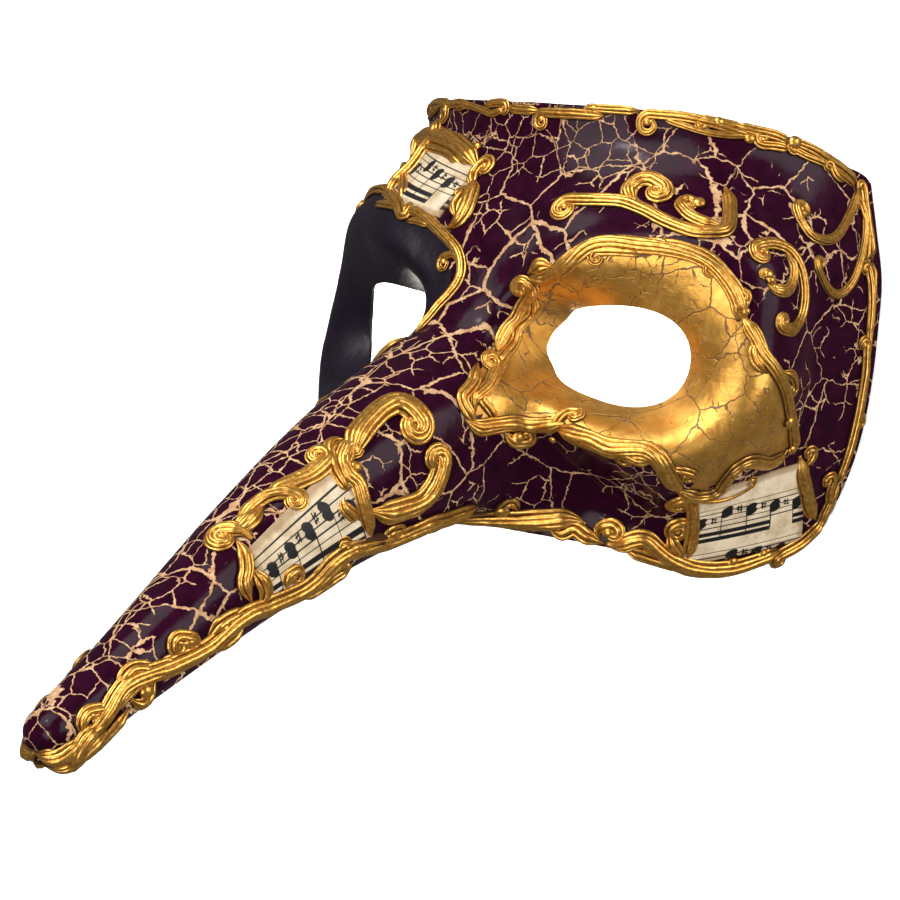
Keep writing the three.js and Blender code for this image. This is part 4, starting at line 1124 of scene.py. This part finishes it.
def cell_lean(tree, place, bent):
    """A height that slopes another way over each large cell."""
    colour = cells(tree, bent, WIDE_CELL, WIDE_START, "F1")["Color"]
    lean = node(tree, "ShaderNodeVectorMath", operation="DOT_PRODUCT")
    tree.links.new(vector_node(tree, "SUBTRACT", colour, (0.5, 0.5, 0.5)), lean.inputs[0])
    tree.links.new(place, lean.inputs[1])
    return lean.outputs["Value"]


def crackle_paint():
    """Dark aubergine paint, split into cells with cream showing in the cracks, under a gloss varnish."""
    made, tree, bsdf = material("crackle_paint")
    place = object_place(tree)
    bold = attribute(tree, "bold")
    bent = warped(tree, warped(tree, warped(tree, place, 1.3, 0.55), 0.4, 1.9), 0.07, 5.0)
    wide, fine = wide_cracks(tree, place, bent, bold), fine_cracks(tree, place, bent, bold)
    crack = math_node(tree, "MAXIMUM", wide, fine)
    paint = ramp(tree, grain(tree, place, 0.25, 4), AUBERGINE)
    filler = ramp(tree, grain(tree, place, 0.5, 4), CREAM, 0.32, 0.6)
    tree.links.new(mixed(tree, crack, paint, filler), bsdf.inputs["Base Color"])
    tree.links.new(fade(tree, crack, 0, 1, 0.19, 0.5), bsdf.inputs["Roughness"])
    bsdf.inputs["Specular IOR Level"].default_value = 0.12
    waves = product(tree, grain(tree, place, 0.1, 3), 1.4)
    waves = total_of(tree, waves, product(tree, cell_lean(tree, place, bent), 1.3))
    bumped(tree, bsdf, math_node(tree, "SUBTRACT", waves, crack), 0.00016)
    return made


def socket_gold():
    """Old gold leaf over gesso with hairline brown cracks."""
    made, tree, bsdf = material("socket_gold")
    place = object_place(tree)
    bent = warped(tree, warped(tree, place, 0.5, 1.2), 0.08, 6.0)
    wide_half = fade(tree, grain(tree, place, 0.1), 0.35, 0.55, 0.0, 0.13)
    fine_half = fade(tree, grain(tree, place, 0.12), 0.42, 0.6, -0.2, 0.06)
    wide = crack_mark(tree, cracks(tree, bent, 12.0, 12.0), wide_half)
    fine = crack_mark(tree, cracks(tree, bent, 5.5, 47.0), fine_half)
    crack = math_node(tree, "MAXIMUM", wide, fine)
    leaf = ramp(tree, grain(tree, place, 0.14, 5, 0.65), SOCKET_LEAF)
    tree.links.new(mixed(tree, product(tree, crack, 0.85), leaf, LEAF_CRACK), bsdf.inputs["Base Color"])
    tree.links.new(fade(tree, crack, 0, 1, 0.78, 0.1), bsdf.inputs["Metallic"])
    tree.links.new(fade(tree, grain(tree, place, 0.4, 4), 0.3, 0.7, 0.3, 0.4), bsdf.inputs["Roughness"])
    swelling = product(tree, grain(tree, place, 0.25, 5), 1.2)
    bumped(tree, bsdf, math_node(tree, "SUBTRACT", swelling, product(tree, crack, 0.5)), 0.00022)
    return made


def socket_dark():
    """Smooth dark paint with a soft sheen in the right eye's socket."""
    made, tree, bsdf = material("socket_dark")
    place = object_place(tree)
    paint = ramp(tree, grain(tree, place, 0.2, 4), SOCKET_PAINT)
    tree.links.new(paint, bsdf.inputs["Base Color"])
    bsdf.inputs["Roughness"].default_value = 0.36
    bumped(tree, bsdf, grain(tree, place, 0.4, 4), 0.00015)
    return made


def inside_primer():
    """Off-white primer over the paper layers of the inside."""
    made, tree, bsdf = material("inside_primer")
    place = object_place(tree)
    seam = fade(tree, cracks(tree, warped(tree, place, 0.1, 4.0), 26.0, 5.0), 0.1, 1.0, 1.0, 0.0)
    colour = ramp(tree, grain(tree, place, 0.1, 5), PRIMER)
    tree.links.new(colour, bsdf.inputs["Base Color"])
    bsdf.inputs["Roughness"].default_value = 0.75
    height = total_of(tree, product(tree, seam, 0.5), grain(tree, place, 0.8, 5))
    bumped(tree, bsdf, height, 0.0004)
    return made


def gilt_with_wax_and_shade():
    """Gilt paint rubbed back on the crests, with dark wax and painted shade left in the hollows."""
    made, tree, bsdf = material("gilt_with_wax_and_shade")
    place = object_place(tree)
    patch = math_node(tree, "SUBTRACT", grain(tree, place, 0.4, 5, 0.65), 0.5)
    # The hollow attribute is dark wax and painted shade: grooves, strand sides and the relief's foot turn
    # dark
    dark = total_of(tree, attribute(tree, "hollow"), product(tree, patch, 0.6))
    gold = ramp(tree, grain(tree, place, 0.8, 4), GILT)
    tree.links.new(mixed(tree, fade(tree, dark, 0.26, 0.72), gold, DARK_WAX_AND_SHADE), bsdf.inputs["Base Color"])
    tree.links.new(fade(tree, dark, 0.5, 1.0, 0.85, 0.3), bsdf.inputs["Metallic"])
    tree.links.new(fade(tree, dark, 0.3, 0.9, 0.31, 0.6), bsdf.inputs["Roughness"])
    bumped(tree, bsdf, grain(tree, place, 0.6, 3), 0.00016)
    return made


def music_print():
    """Aged paper with printed notes under varnish."""
    made, tree, bsdf = material("music_print")
    place = object_place(tree)
    paper = ramp(tree, grain(tree, place, 0.16, 5, 0.6), OLD_PAPER)
    worn = total_of(tree, attribute(tree, "edge"), product(tree, grain(tree, place, 0.5, 5), 0.6))
    paper = mixed(tree, fade(tree, worn, 0.6, 1.3, 0.0, 0.7), paper, WORN_EDGE)
    speck = fade(tree, grain(tree, place, 1.1, 4, 0.7), 0.6, 0.68, 0.0, 0.5)
    paper = mixed(tree, speck, paper, PAPER_SPECK)
    ink = fade(tree, attribute(tree, "ink"), 0.3, 0.7)
    tree.links.new(mixed(tree, ink, paper, INK), bsdf.inputs["Base Color"])
    bsdf.inputs["Roughness"].default_value = 0.55
    bumped(tree, bsdf, grain(tree, place, 0.5, 4), 0.0002)
    return made


def volute(end, before, normal, radius):
    """Points of a spiral that carries a line on past its end."""
    ahead = unit(end - before)
    ahead = unit(ahead - normal * ahead.dot(normal))
    left = np.cross(normal, ahead) * math.copysign(1, radius)
    share = np.linspace(0, 1, VOLUTE_STEPS + 1)
    angle = share * VOLUTE_TURNS * 2 * math.pi
    size = abs(radius) * (1 - VOLUTE_CLOSING * share)
    heading = ahead * np.cos(angle)[:, None] + left * np.sin(angle)[:, None]
    return end + np.cumsum(heading[:-1] * (size[:-1] * np.diff(angle))[:, None], axis=0)


def fullness(count, half, radius):
    """How a line's half width grows from its end: out of a volute, or out of a point."""
    run = LINE_STEP * np.arange(count)
    if radius:
        return VOLUTE_THINNING + (1 - VOLUTE_THINNING) * rise(0, 5 * abs(radius), run)
    return POINT_SHARE + (1 - POINT_SHARE) * rise(0, POINT_LENGTH * half, run)


def gilt_lines(place, entries):
    """Records of gilt lines laid on the skin, with a volute or a tapered point at each end."""
    drafts = [smoothed(np.array(entry[4], float), False, LINE_FINENESS) for entry in entries]
    points = place(np.vstack(drafts))
    lines = np.split(points, np.cumsum([len(draft) for draft in drafts])[:-1])
    ends = normals_at(np.array([[line[0], line[-1]] for line in lines]))
    records = []
    for (bundle, half, start, end, _), line, normals in zip(entries, lines, ends):
        line = evenly(line, LINE_STEP)
        parts = [line]
        if start:
            parts.insert(0, volute(line[0], line[1], normals[0], start)[::-1])
        if end:
            parts.append(volute(line[-1], line[-2], normals[1], end))
        line = evenly(np.vstack(parts), LINE_STEP)
        full = half * fullness(len(line), half, start) * fullness(len(line), half, end)[::-1]
        records.append({"bundle": bundle, "points": line, "half": full, "volutes": (start, end)})
    return records


def settled(records):
    """The records with their points on the skin, and which way is outwards and sideways at each."""
    counts = np.cumsum([len(record["points"]) for record in records])[:-1]
    points = on_skin(np.vstack([record["points"] for record in records]), 2)
    out = normals_at(points)
    for record, line, normal in zip(records, np.split(points, counts), np.split(out, counts)):
        record["points"] = line
        record["out"] = normal
        record["side"] = unit(np.cross(normal, np.gradient(line, axis=0)))
    return records


def end_balls(records):
    """A ball in the eye of every volute: its place and radius."""
    balls = []
    for record in records:
        for which, radius in zip((0, -1), record["volutes"]):
            if radius:
                size = VOLUTE_BALL * abs(radius) + VOLUTE_BALL_LEAST
                balls.append((record["points"][which], size))
    return balls


def lines_object(name, records):
    """The lines as a mesh of edges that carries what the strands need."""
    edges, start = [], 0
    for record in records:
        index = np.arange(start, start + len(record["points"]))
        edges += np.column_stack([index[:-1], index[1:]]).tolist()
        start += len(index)
    mesh = bpy.data.meshes.new(name)
    mesh.from_pydata(to_row(np.vstack([record["points"] for record in records])).tolist(), edges, [])
    for key in ("out", "side"):
        set_vector(mesh, key, np.vstack([record[key] for record in records]))
    set_float(mesh, "half", np.concatenate([record["half"] for record in records]) * MM)
    return linked(name, mesh)


def new_tree(name, inputs):
    """A geometry tree with named inputs, the last of them the material, and its input sockets."""
    tree = bpy.data.node_groups.new(name, "GeometryNodeTree")
    tree.interface.new_socket("Geometry", in_out="INPUT", socket_type="NodeSocketGeometry")
    tree.interface.new_socket("Geometry", in_out="OUTPUT", socket_type="NodeSocketGeometry")
    for label, value in inputs.items():
        made = tree.interface.new_socket(label, in_out="INPUT", socket_type="NodeSocketFloat")
        made.default_value = value
    tree.interface.new_socket("Finish", in_out="INPUT", socket_type="NodeSocketMaterial")
    return tree, node(tree, "NodeGroupInput").outputs


def named(tree, name, kind):
    made = node(tree, "GeometryNodeInputNamedAttribute", data_type=kind)
    made.inputs["Name"].default_value = name
    return made.outputs["Attribute"]


def stored(tree, geometry, name, value):
    made = node(tree, "GeometryNodeStoreNamedAttribute", data_type="FLOAT", domain="POINT")
    tree.links.new(geometry, made.inputs["Geometry"])
    made.inputs["Name"].default_value = name
    put(tree, made.inputs["Value"], value)
    return made.outputs[0]


def close_tree(tree, geometry, finish):
    """Real geometry with its material at the tree's end."""
    realize = node(tree, "GeometryNodeRealizeInstances")
    tree.links.new(geometry, realize.inputs[0])
    painted = node(tree, "GeometryNodeSetMaterial")
    tree.links.new(realize.outputs[0], painted.inputs["Geometry"])
    tree.links.new(finish, painted.inputs["Material"])
    tree.links.new(painted.outputs[0], node(tree, "NodeGroupOutput").inputs[0])


def strand_tree(name, strands):
    """A node tree that lays strands of piped gesso side by side along lines."""
    tree, given = new_tree(name, {"Width": 1.42, "Relief": 1.05, "Unevenness": 0.5, "Grain": 85.0})
    half = product(tree, named(tree, "half", "FLOAT"), given["Width"])
    out, side = named(tree, "out", "FLOAT_VECTOR"), named(tree, "side", "FLOAT_VECTOR")
    place = node(tree, "GeometryNodeInputPosition").outputs[0]
    join = node(tree, "GeometryNodeJoinGeometry")
    for index, (across, lift, thick, depth) in enumerate(strands):
        wobble = node(tree, "ShaderNodeTexNoise")
        wobble_place = vector_node(tree, "ADD", place, (0.1 * index, 0.0, 0.07 * index))
        tree.links.new(wobble_place, wobble.inputs["Vector"])
        tree.links.new(given["Grain"], wobble.inputs["Scale"])
        swing = product(tree, math_node(tree, "SUBTRACT", wobble.outputs["Fac"], 0.5), given["Unevenness"])
        to_side = product(tree, total_of(tree, across, product(tree, swing, SIDE_SWING)), half)
        to_out = product(tree, lift, half, given["Relief"])
        sideways = vector_node(tree, "SCALE", side, to_side)
        outwards = vector_node(tree, "SCALE", out, to_out)
        moved = node(tree, "GeometryNodeSetPosition")
        tree.links.new(given["Geometry"], moved.inputs["Geometry"])
        tree.links.new(vector_node(tree, "ADD", sideways, outwards), moved.inputs["Offset"])
        curve = node(tree, "GeometryNodeMeshToCurve")
        tree.links.new(moved.outputs[0], curve.inputs[0])
        circle = node(tree, "GeometryNodeCurvePrimitiveCircle", mode="RADIUS")
        circle.inputs["Resolution"].default_value = STRAND_SIDES
        circle.inputs["Radius"].default_value = 1.0
        tube = node(tree, "GeometryNodeCurveToMesh")
        tree.links.new(curve.outputs[0], tube.inputs["Curve"])
        tree.links.new(circle.outputs[0], tube.inputs["Profile Curve"])
        tube.inputs["Fill Caps"].default_value = True
        size = product(tree, thick, half, total_of(tree, 1.0, product(tree, swing, THICKNESS_SWING)))
        tree.links.new(size, tube.inputs["Scale"])
        tree.links.new(stored(tree, tube.outputs[0], "deep", depth), join.inputs[0])
    close_tree(tree, join.outputs[0], given["Finish"])
    return tree


def ball_tree():
    """A node tree that sets a flattened ball of gesso on every point."""
    tree, given = new_tree("balls", {"Flatness": BALL_FLATNESS, "Length": BALL_LENGTH})
    points = node(tree, "GeometryNodeMeshToPoints")
    tree.links.new(given["Geometry"], points.inputs[0])
    ball = node(tree, "GeometryNodeMeshIcoSphere")
    ball.inputs["Radius"].default_value = 1.0
    ball.inputs["Subdivisions"].default_value = 3
    turned = node(tree, "FunctionNodeAlignRotationToVector", axis="Z")
    tree.links.new(named(tree, "out", "FLOAT_VECTOR"), turned.inputs["Vector"])
    half = named(tree, "half", "FLOAT")
    size = node(tree, "ShaderNodeCombineXYZ")
    tree.links.new(product(tree, half, given["Length"]), size.inputs["X"])
    tree.links.new(half, size.inputs["Y"])
    tree.links.new(product(tree, half, given["Flatness"]), size.inputs["Z"])
    placed = node(tree, "GeometryNodeInstanceOnPoints")
    tree.links.new(points.outputs[0], placed.inputs["Points"])
    tree.links.new(ball.outputs["Mesh"], placed.inputs["Instance"])
    tree.links.new(turned.outputs[0], placed.inputs["Rotation"])
    tree.links.new(size.outputs[0], placed.inputs["Scale"])
    close_tree(tree, placed.outputs[0], given["Finish"])
    return tree


def grown(thing, tree, finish):
    """The points and normals that the node tree makes of an object, how deep they lie, and the faces."""
    modifier = thing.modifiers.new("grow", "NODES")
    modifier.node_group = tree
    for item in tree.interface.items_tree:
        if item.name == "Finish":
            modifier[item.identifier] = finish
    mesh = bpy.data.meshes.new_from_object(thing.evaluated_get(bpy.context.evaluated_depsgraph_get()))
    bpy.data.objects.remove(thing)
    points, normals = np.empty((2, len(mesh.vertices) * 3))
    mesh.vertices.foreach_get("co", points)
    mesh.vertices.foreach_get("normal", normals)
    deep = np.zeros(len(mesh.vertices))
    if "deep" in mesh.attributes:
        mesh.attributes["deep"].data.foreach_get("value", deep)
    faces = [list(face.vertices) for face in mesh.polygons]
    return points.reshape(-1, 3) / MM - SHIFT, normals.reshape(-1, 3), deep, faces


def balls_object(name, balls):
    """The balls' middles as a mesh of points that carries what the balls need."""
    centres = on_skin(np.array([centre for centre, _ in balls]), 2)
    radii = np.array([radius for _, radius in balls])
    out = normals_at(centres)
    mesh = bpy.data.meshes.new(name)
    mesh.from_pydata(to_row(centres + out * radii[:, None] * BALL_LIFT).tolist(), [], [])
    set_vector(mesh, "out", out)
    set_float(mesh, "half", radii * MM)
    return linked(name, mesh)


def wax_and_shade(vertices, normals, deep):
    """How much dark wax and painted shade a place gets: in the grooves, on the sides and close to the skin.
    """
    slope, height = gradient(vertices)
    # Painted shade as well as wax: deep strands, sides turned away from the outward way and the foot of the
    # relief are darkened
    facing = (unit(slope) * normals).sum(-1)
    sides = 1 - rise(-0.1, 0.7, facing)
    low = 1 - rise(0.1, 1.1, height)
    return np.clip(GROOVE_WAX_AND_SHADE * deep + SIDE_WAX_AND_SHADE * sides + SKIN_WAX_AND_SHADE * low, 0, 1)


def gilt_object(name, records, balls, finish, trees, node_name):
    """One piece of gilt relief out of its lines and balls."""
    records = settled(records)
    parts = []
    for bundle in STRANDS:
        chosen = [record for record in records if record["bundle"] == bundle]
        if chosen:
            parts.append(grown(lines_object(name + "_lines", chosen), trees[bundle], finish))
    balls = balls + end_balls(records)
    parts.append(grown(balls_object(name + "_balls", balls), trees["ball"], finish))
    starts = np.cumsum([0] + [len(part[0]) for part in parts])
    vertices, normals, deep = (np.concatenate([part[k] for part in parts]) for k in range(3))
    faces = [[index + start for index in face] for part, start in zip(parts, starts) for face in part[3]]
    thing = make_object(name, vertices, faces)
    thing.data.materials.append(finish)
    # hollow: dark wax and painted shade in the grooves, on the sides and close to the skin
    set_float(thing.data, "hollow", wax_and_shade(vertices, normals, deep))
    finished(thing, node_name)


def across_face(turn, y):
    return -turn, y


def across_nose(distance, angle):
    return distance, -180 - angle


def mirrored(entries, across):
    """The entries with their places on the other side; volutes turn the other way there."""
    return [(bundle, half, -start, -end, [across(*place) for place in places])
            for bundle, half, start, end, places in entries]


def bars(path, half):
    """Entries of short overlapping bars along a path on the face, most of them starting in a hook."""
    even = evenly(smoothed(np.array(path, float), False, LINE_FINENESS), 1.0)
    entries = []
    start, index = 0, 0
    while start < len(even) - BAR_LAP:
        part = even[start:start + int(BAR_LENGTH + BAR_LAP):3]
        if len(part) > 2:
            entries.append((2, half, BAR_HOOKS[index % len(BAR_HOOKS)], 0, part.tolist()))
        start += int(BAR_LENGTH)
        index += 1
    return entries


def turned_beyond(entries, turn):
    """The entries that lie wholly at a larger turn than this."""
    return [entry for entry in entries if min(place[0] for place in entry[4]) > turn]


def placed_balls(place, buds):
    """Each ball's middle on the skin and its radius."""
    return list(zip(place([bud[:2] for bud in buds]), (bud[2] for bud in buds)))


def build_gilt():
    finish = gilt_with_wax_and_shade()
    trees = {bundle: strand_tree("strands", strands) for bundle, strands in STRANDS.items()}
    trees["ball"] = ball_tree()
    rim = RIM_TOP_LINES + RIM_SIDE_LINES + RIM_LOW_LINES + TEMPLE_LINES
    rim += mirrored(turned_beyond(RIM_TOP_LINES, 35), across_face)
    rim += mirrored(RIM_SIDE_LINES + RIM_LOW_LINES[1:] + TEMPLE_LINES, across_face)
    eye_right = BROW_PATCH_LINES + EYE_RIGHT_LINES + bars(HIDDEN_EYE_PATH, BAR_HALF)
    nose = NOSE_FRAME_LINES + GARLAND_LINES + mirrored(GARLAND_LINES, across_nose)
    pieces = [
        ("gilt_rim", face_points, rim, RIM_BUDS, "gilt_rim_braid"),
        ("gilt_eye_left", face_points, EYE_LEFT_LINES, EYE_LEFT_BUDS, "gilt_eye_frame_left"),
        ("gilt_eye_right", face_points, eye_right, BROW_PATCH_BUDS, "gilt_eye_frame_right"),
        ("gilt_brow", face_points, BROW_LINES, BROW_BUDS, "gilt_brow_scroll"),
        ("gilt_comma", face_points, COMMA_LINES, COMMA_BUDS, "gilt_temple_comma"),
        ("gilt_nose", nose_points, nose, NOSE_BUDS, "gilt_nose_band"),
    ]
    for name, place, entries, buds, node_name in pieces:
        balls = placed_balls(place, buds)
        gilt_object(name, gilt_lines(place, entries), balls, finish, trees, node_name)


def blob(x, y, across, up):
    """1 inside a printed oval round the origin."""
    return 1 - rise(0.85, 1.15, np.hypot(x / across, y / up))


def stroke(x, y, half_width, low, high):
    """1 inside an upright stroke."""
    return (1 - rise(half_width * 0.7, half_width * 1.4, np.abs(x))) * ((y > low) & (y < high))


def cross_sign(x, y):
    """A small sign of two upright and two slanting strokes."""
    ink = np.maximum(stroke(x - 0.4, y, 0.14, -1.3, 1.3), stroke(x + 0.4, y, 0.14, -1.3, 1.3))
    slant = y - 0.25 * x
    for level in (-0.5, 0.5):
        ink = np.maximum(ink, (1 - rise(0.15, 0.32, np.abs(slant - level))) * (np.abs(x) < 0.9))
    return ink


def staff_ink(x, y, width, offset):
    """A stave with chords, signs, stems and doubled beams; y is down from its middle line."""
    ink = np.zeros_like(x)
    for k in range(-2, 3):
        ink = np.maximum(ink, 1 - rise(STAFF_LINE * 0.6, STAFF_LINE * 1.7, np.abs(y - k * STAFF_GAP)))
    for index in range(int(width / NOTE_PITCH) + 1):
        at = offset + index * NOTE_PITCH
        head = STAFF_GAP * (0.5 * ((index * 5 + 3) % 4) - 1.2)
        for level in (head, head + STAFF_GAP * 0.95):
            ink = np.maximum(ink, blob(x - at, y - level + NOTE_SLANT * (x - at), NOTE_ACROSS, NOTE_UP))
        ink = np.maximum(ink, stroke(x - at + STEM_BESIDE, y, STEM_HALF, head, BEAM_DROP))
        ink = np.maximum(ink, cross_sign(x - at - 3.8, y - head - 0.6))
    group = ((x - offset + 1.5) % (4 * NOTE_PITCH)) < 3 * NOTE_PITCH + 0.2
    for level in (BEAM_DROP - BEAM_GAP, BEAM_DROP):
        ink = np.maximum(ink, (1 - rise(0.6, 0.85, np.abs(y - level))) * group)
    return ink


def music_ink(x, y, width, height):
    """1 where ink is, over a sheet of this width and height in mm."""
    down = y - 0.42 * height
    upper = staff_ink(x, down, width, UPPER_START)
    lower = staff_ink(x, down - STAFF_PITCH, width, LOWER_START)
    return np.maximum(upper, lower)


def in_steps(rows, steps):
    """Rows of points at so many even steps, on straight lines between the given rows."""
    at = np.linspace(0, 1, steps + 1) * (len(rows) - 1)
    low = np.minimum(at.astype(int), len(rows) - 2)
    part = (at - low)[:, None, None]
    return rows[low] * (1 - part) + rows[low + 1] * part


def paper_net(place, corners):
    """Rows of points between four corners, drawn finely, and the sheet's width and height in mm."""
    a, b, c, d = (np.array(corner, float) for corner in corners)
    width, height = (np.linalg.norm(np.diff(place([one, two]), axis=0)) for one, two in ((a, b), (b, c)))
    share = np.linspace(0, 1, PAPER_CELLS + 1)
    across, down = (grid[..., None] for grid in np.meshgrid(share, share))
    places = (a * (1 - across) + b * across) * (1 - down) + (d * (1 - across) + c * across) * down
    net = place(places.reshape(-1, 2)).reshape(PAPER_CELLS + 1, PAPER_CELLS + 1, 3)
    net = in_steps(net.transpose(1, 0, 2), int(width / PAPER_STEP)).transpose(1, 0, 2)
    return in_steps(net, int(height / PAPER_STEP)), width, height


def slab_faces(rows, columns):
    """The faces of a slab: an upper sheet of points in rows, a lower one, and the walls between them."""
    index = np.arange(rows * columns).reshape(rows, columns)
    quads = np.stack([index[:-1, :-1], index[1:, :-1], index[1:, 1:], index[:-1, 1:]], -1).reshape(-1, 4)
    border = np.concatenate([index[0, :-1], index[:-1, -1], index[-1, :0:-1], index[:0:-1, 0]])
    following = np.roll(border, -1)
    walls = np.column_stack([border, following, following + index.size, border + index.size])
    return np.vstack([quads, quads[:, ::-1] + index.size, walls])


def build_paper(name, place, corners, node_name, finish):
    """A sheet of paper on the skin between four corners, its print running from the first to the second."""
    net, width, height = paper_net(place, corners)
    rows, columns = net.shape[:2]
    skin = on_skin(net.reshape(-1, 3), 2)
    out = normals_at(skin)
    upper = skin + out * (PAPER_LIFT + PAPER_THICKNESS)
    thing = make_object(name, np.vstack([upper, skin - out * PAPER_SINK]), slab_faces(rows, columns).tolist())
    grids = np.meshgrid(np.linspace(0, 1, columns), np.linspace(0, 1, rows))
    i, j = (grid.ravel() for grid in grids)
    ink = music_ink(i * width, j * height, width, height)
    from_edge = np.minimum(np.minimum(i, 1 - i) * width, np.minimum(j, 1 - j) * height)
    plain = np.zeros(len(skin))
    set_float(thing.data, "ink", np.concatenate([ink, plain]))
    set_float(thing.data, "edge", np.concatenate([1 - rise(0.5, 3.5, from_edge), plain + 1]))
    thing.data.materials.append(finish)
    finished(thing, node_name)


def build_papers():
    finish = music_print()
    build_paper("paper_cheek", face_points, CHEEK_PAPER, "music_paper_cheek", finish)
    build_paper("paper_brow", face_points, BROW_PAPER, "music_paper_brow", finish)
    build_paper("paper_nose", nose_points, NOSE_PAPER, "music_paper_nose", finish)


def build_floor():
    corners = [(-1, -1), (1, -1), (1, 1), (-1, 1)]
    mesh = bpy.data.meshes.new("floor")
    mesh.from_pydata([(x * FLOOR_HALF, y * FLOOR_HALF, 0) for x, y in corners], [], [(0, 1, 2, 3)])
    floor = linked("floor", mesh)
    floor.location.z = -FLOOR_DROP
    floor.visible_glossy = False
    made, _, bsdf = material("floor_white")
    bsdf.inputs["Base Color"].default_value = (0.9, 0.9, 0.9, 1)
    bsdf.inputs["Roughness"].default_value = 0.8
    bsdf.inputs["Emission Color"].default_value = (1, 1, 1, 1)
    bsdf.inputs["Emission Strength"].default_value = 0.72
    mesh.materials.append(made)


def camera_axes():
    """The camera's right, its up and the way back from its target."""
    azimuth, elevation, roll = VIEW_AZIMUTH, VIEW_ELEVATION, VIEW_ROLL
    level_back = Vector((math.sin(azimuth), 0, math.cos(azimuth)))
    back = level_back * math.cos(elevation) + Vector((0, math.sin(elevation), 0))
    level = Vector((math.cos(azimuth), 0, -math.sin(azimuth)))
    upright = back.cross(level)
    right = level * math.cos(roll) + upright * math.sin(roll)
    up = upright * math.cos(roll) - level * math.sin(roll)
    return right, up, back


def build_camera():
    right, up, back = camera_axes()
    data = bpy.data.cameras.new("camera")
    data.sensor_width = SENSOR_WIDTH
    data.lens = FOCAL_LENGTH
    data.clip_start, data.clip_end = 0.05, 50
    camera = linked("camera", data)
    target = Vector(to_row(VIEW_TARGET))
    turned = Matrix((right, up, back)).transposed().to_4x4()
    camera.matrix_world = Matrix.Translation(target + back * VIEW_DISTANCE * MM) @ turned
    bpy.context.scene.camera = camera


def area_light(name, direction, distance, size, power):
    """A soft square light, placed as the camera sees it: so far right, up and towards the camera."""
    right, up, back = camera_axes()
    offset = (right * direction[0] + up * direction[1] + back * direction[2]).normalized() * distance
    data = bpy.data.lights.new(name, "AREA")
    data.size = size
    data.energy = power
    light = linked(name, data)
    light.location = Vector(to_row(VIEW_TARGET)) + offset
    light.rotation_mode = "QUATERNION"
    light.rotation_quaternion = offset.to_track_quat("Z", "Y")


def inside_light():
    """A weak lamp behind the face, so that the inside reads white through the eye holes."""
    data = bpy.data.lights.new("inside", "POINT")
    data.energy = INSIDE_POWER
    data.shadow_soft_size = 0.01
    lamp = linked("inside", data)
    lamp.location = Vector(to_row(INSIDE_LIGHT))
    lamp.visible_glossy = False


def build_lights():
    for light in LIGHTS:
        area_light(*light)
    inside_light()
    world = bpy.data.worlds.new("studio")
    world.use_nodes = True
    background = world.node_tree.nodes["Background"]
    background.inputs["Color"].default_value = (1, 1, 1, 1)
    background.inputs["Strength"].default_value = ROOM_BRIGHTNESS
    bpy.context.scene.world = world
    bpy.context.scene.view_settings.view_transform = "Standard"


def build_mask():
    build_shell(*skin_net())
    build_gilt()
    build_papers()


def build_studio():
    build_floor()
    build_camera()
    build_lights()


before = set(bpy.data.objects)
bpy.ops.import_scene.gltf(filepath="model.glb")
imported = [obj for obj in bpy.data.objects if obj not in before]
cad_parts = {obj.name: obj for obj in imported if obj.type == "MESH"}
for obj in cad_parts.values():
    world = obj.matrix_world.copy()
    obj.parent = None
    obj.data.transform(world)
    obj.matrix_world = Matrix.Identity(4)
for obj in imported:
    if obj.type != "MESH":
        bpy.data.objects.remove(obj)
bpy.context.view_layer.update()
build_mask()
build_studio()
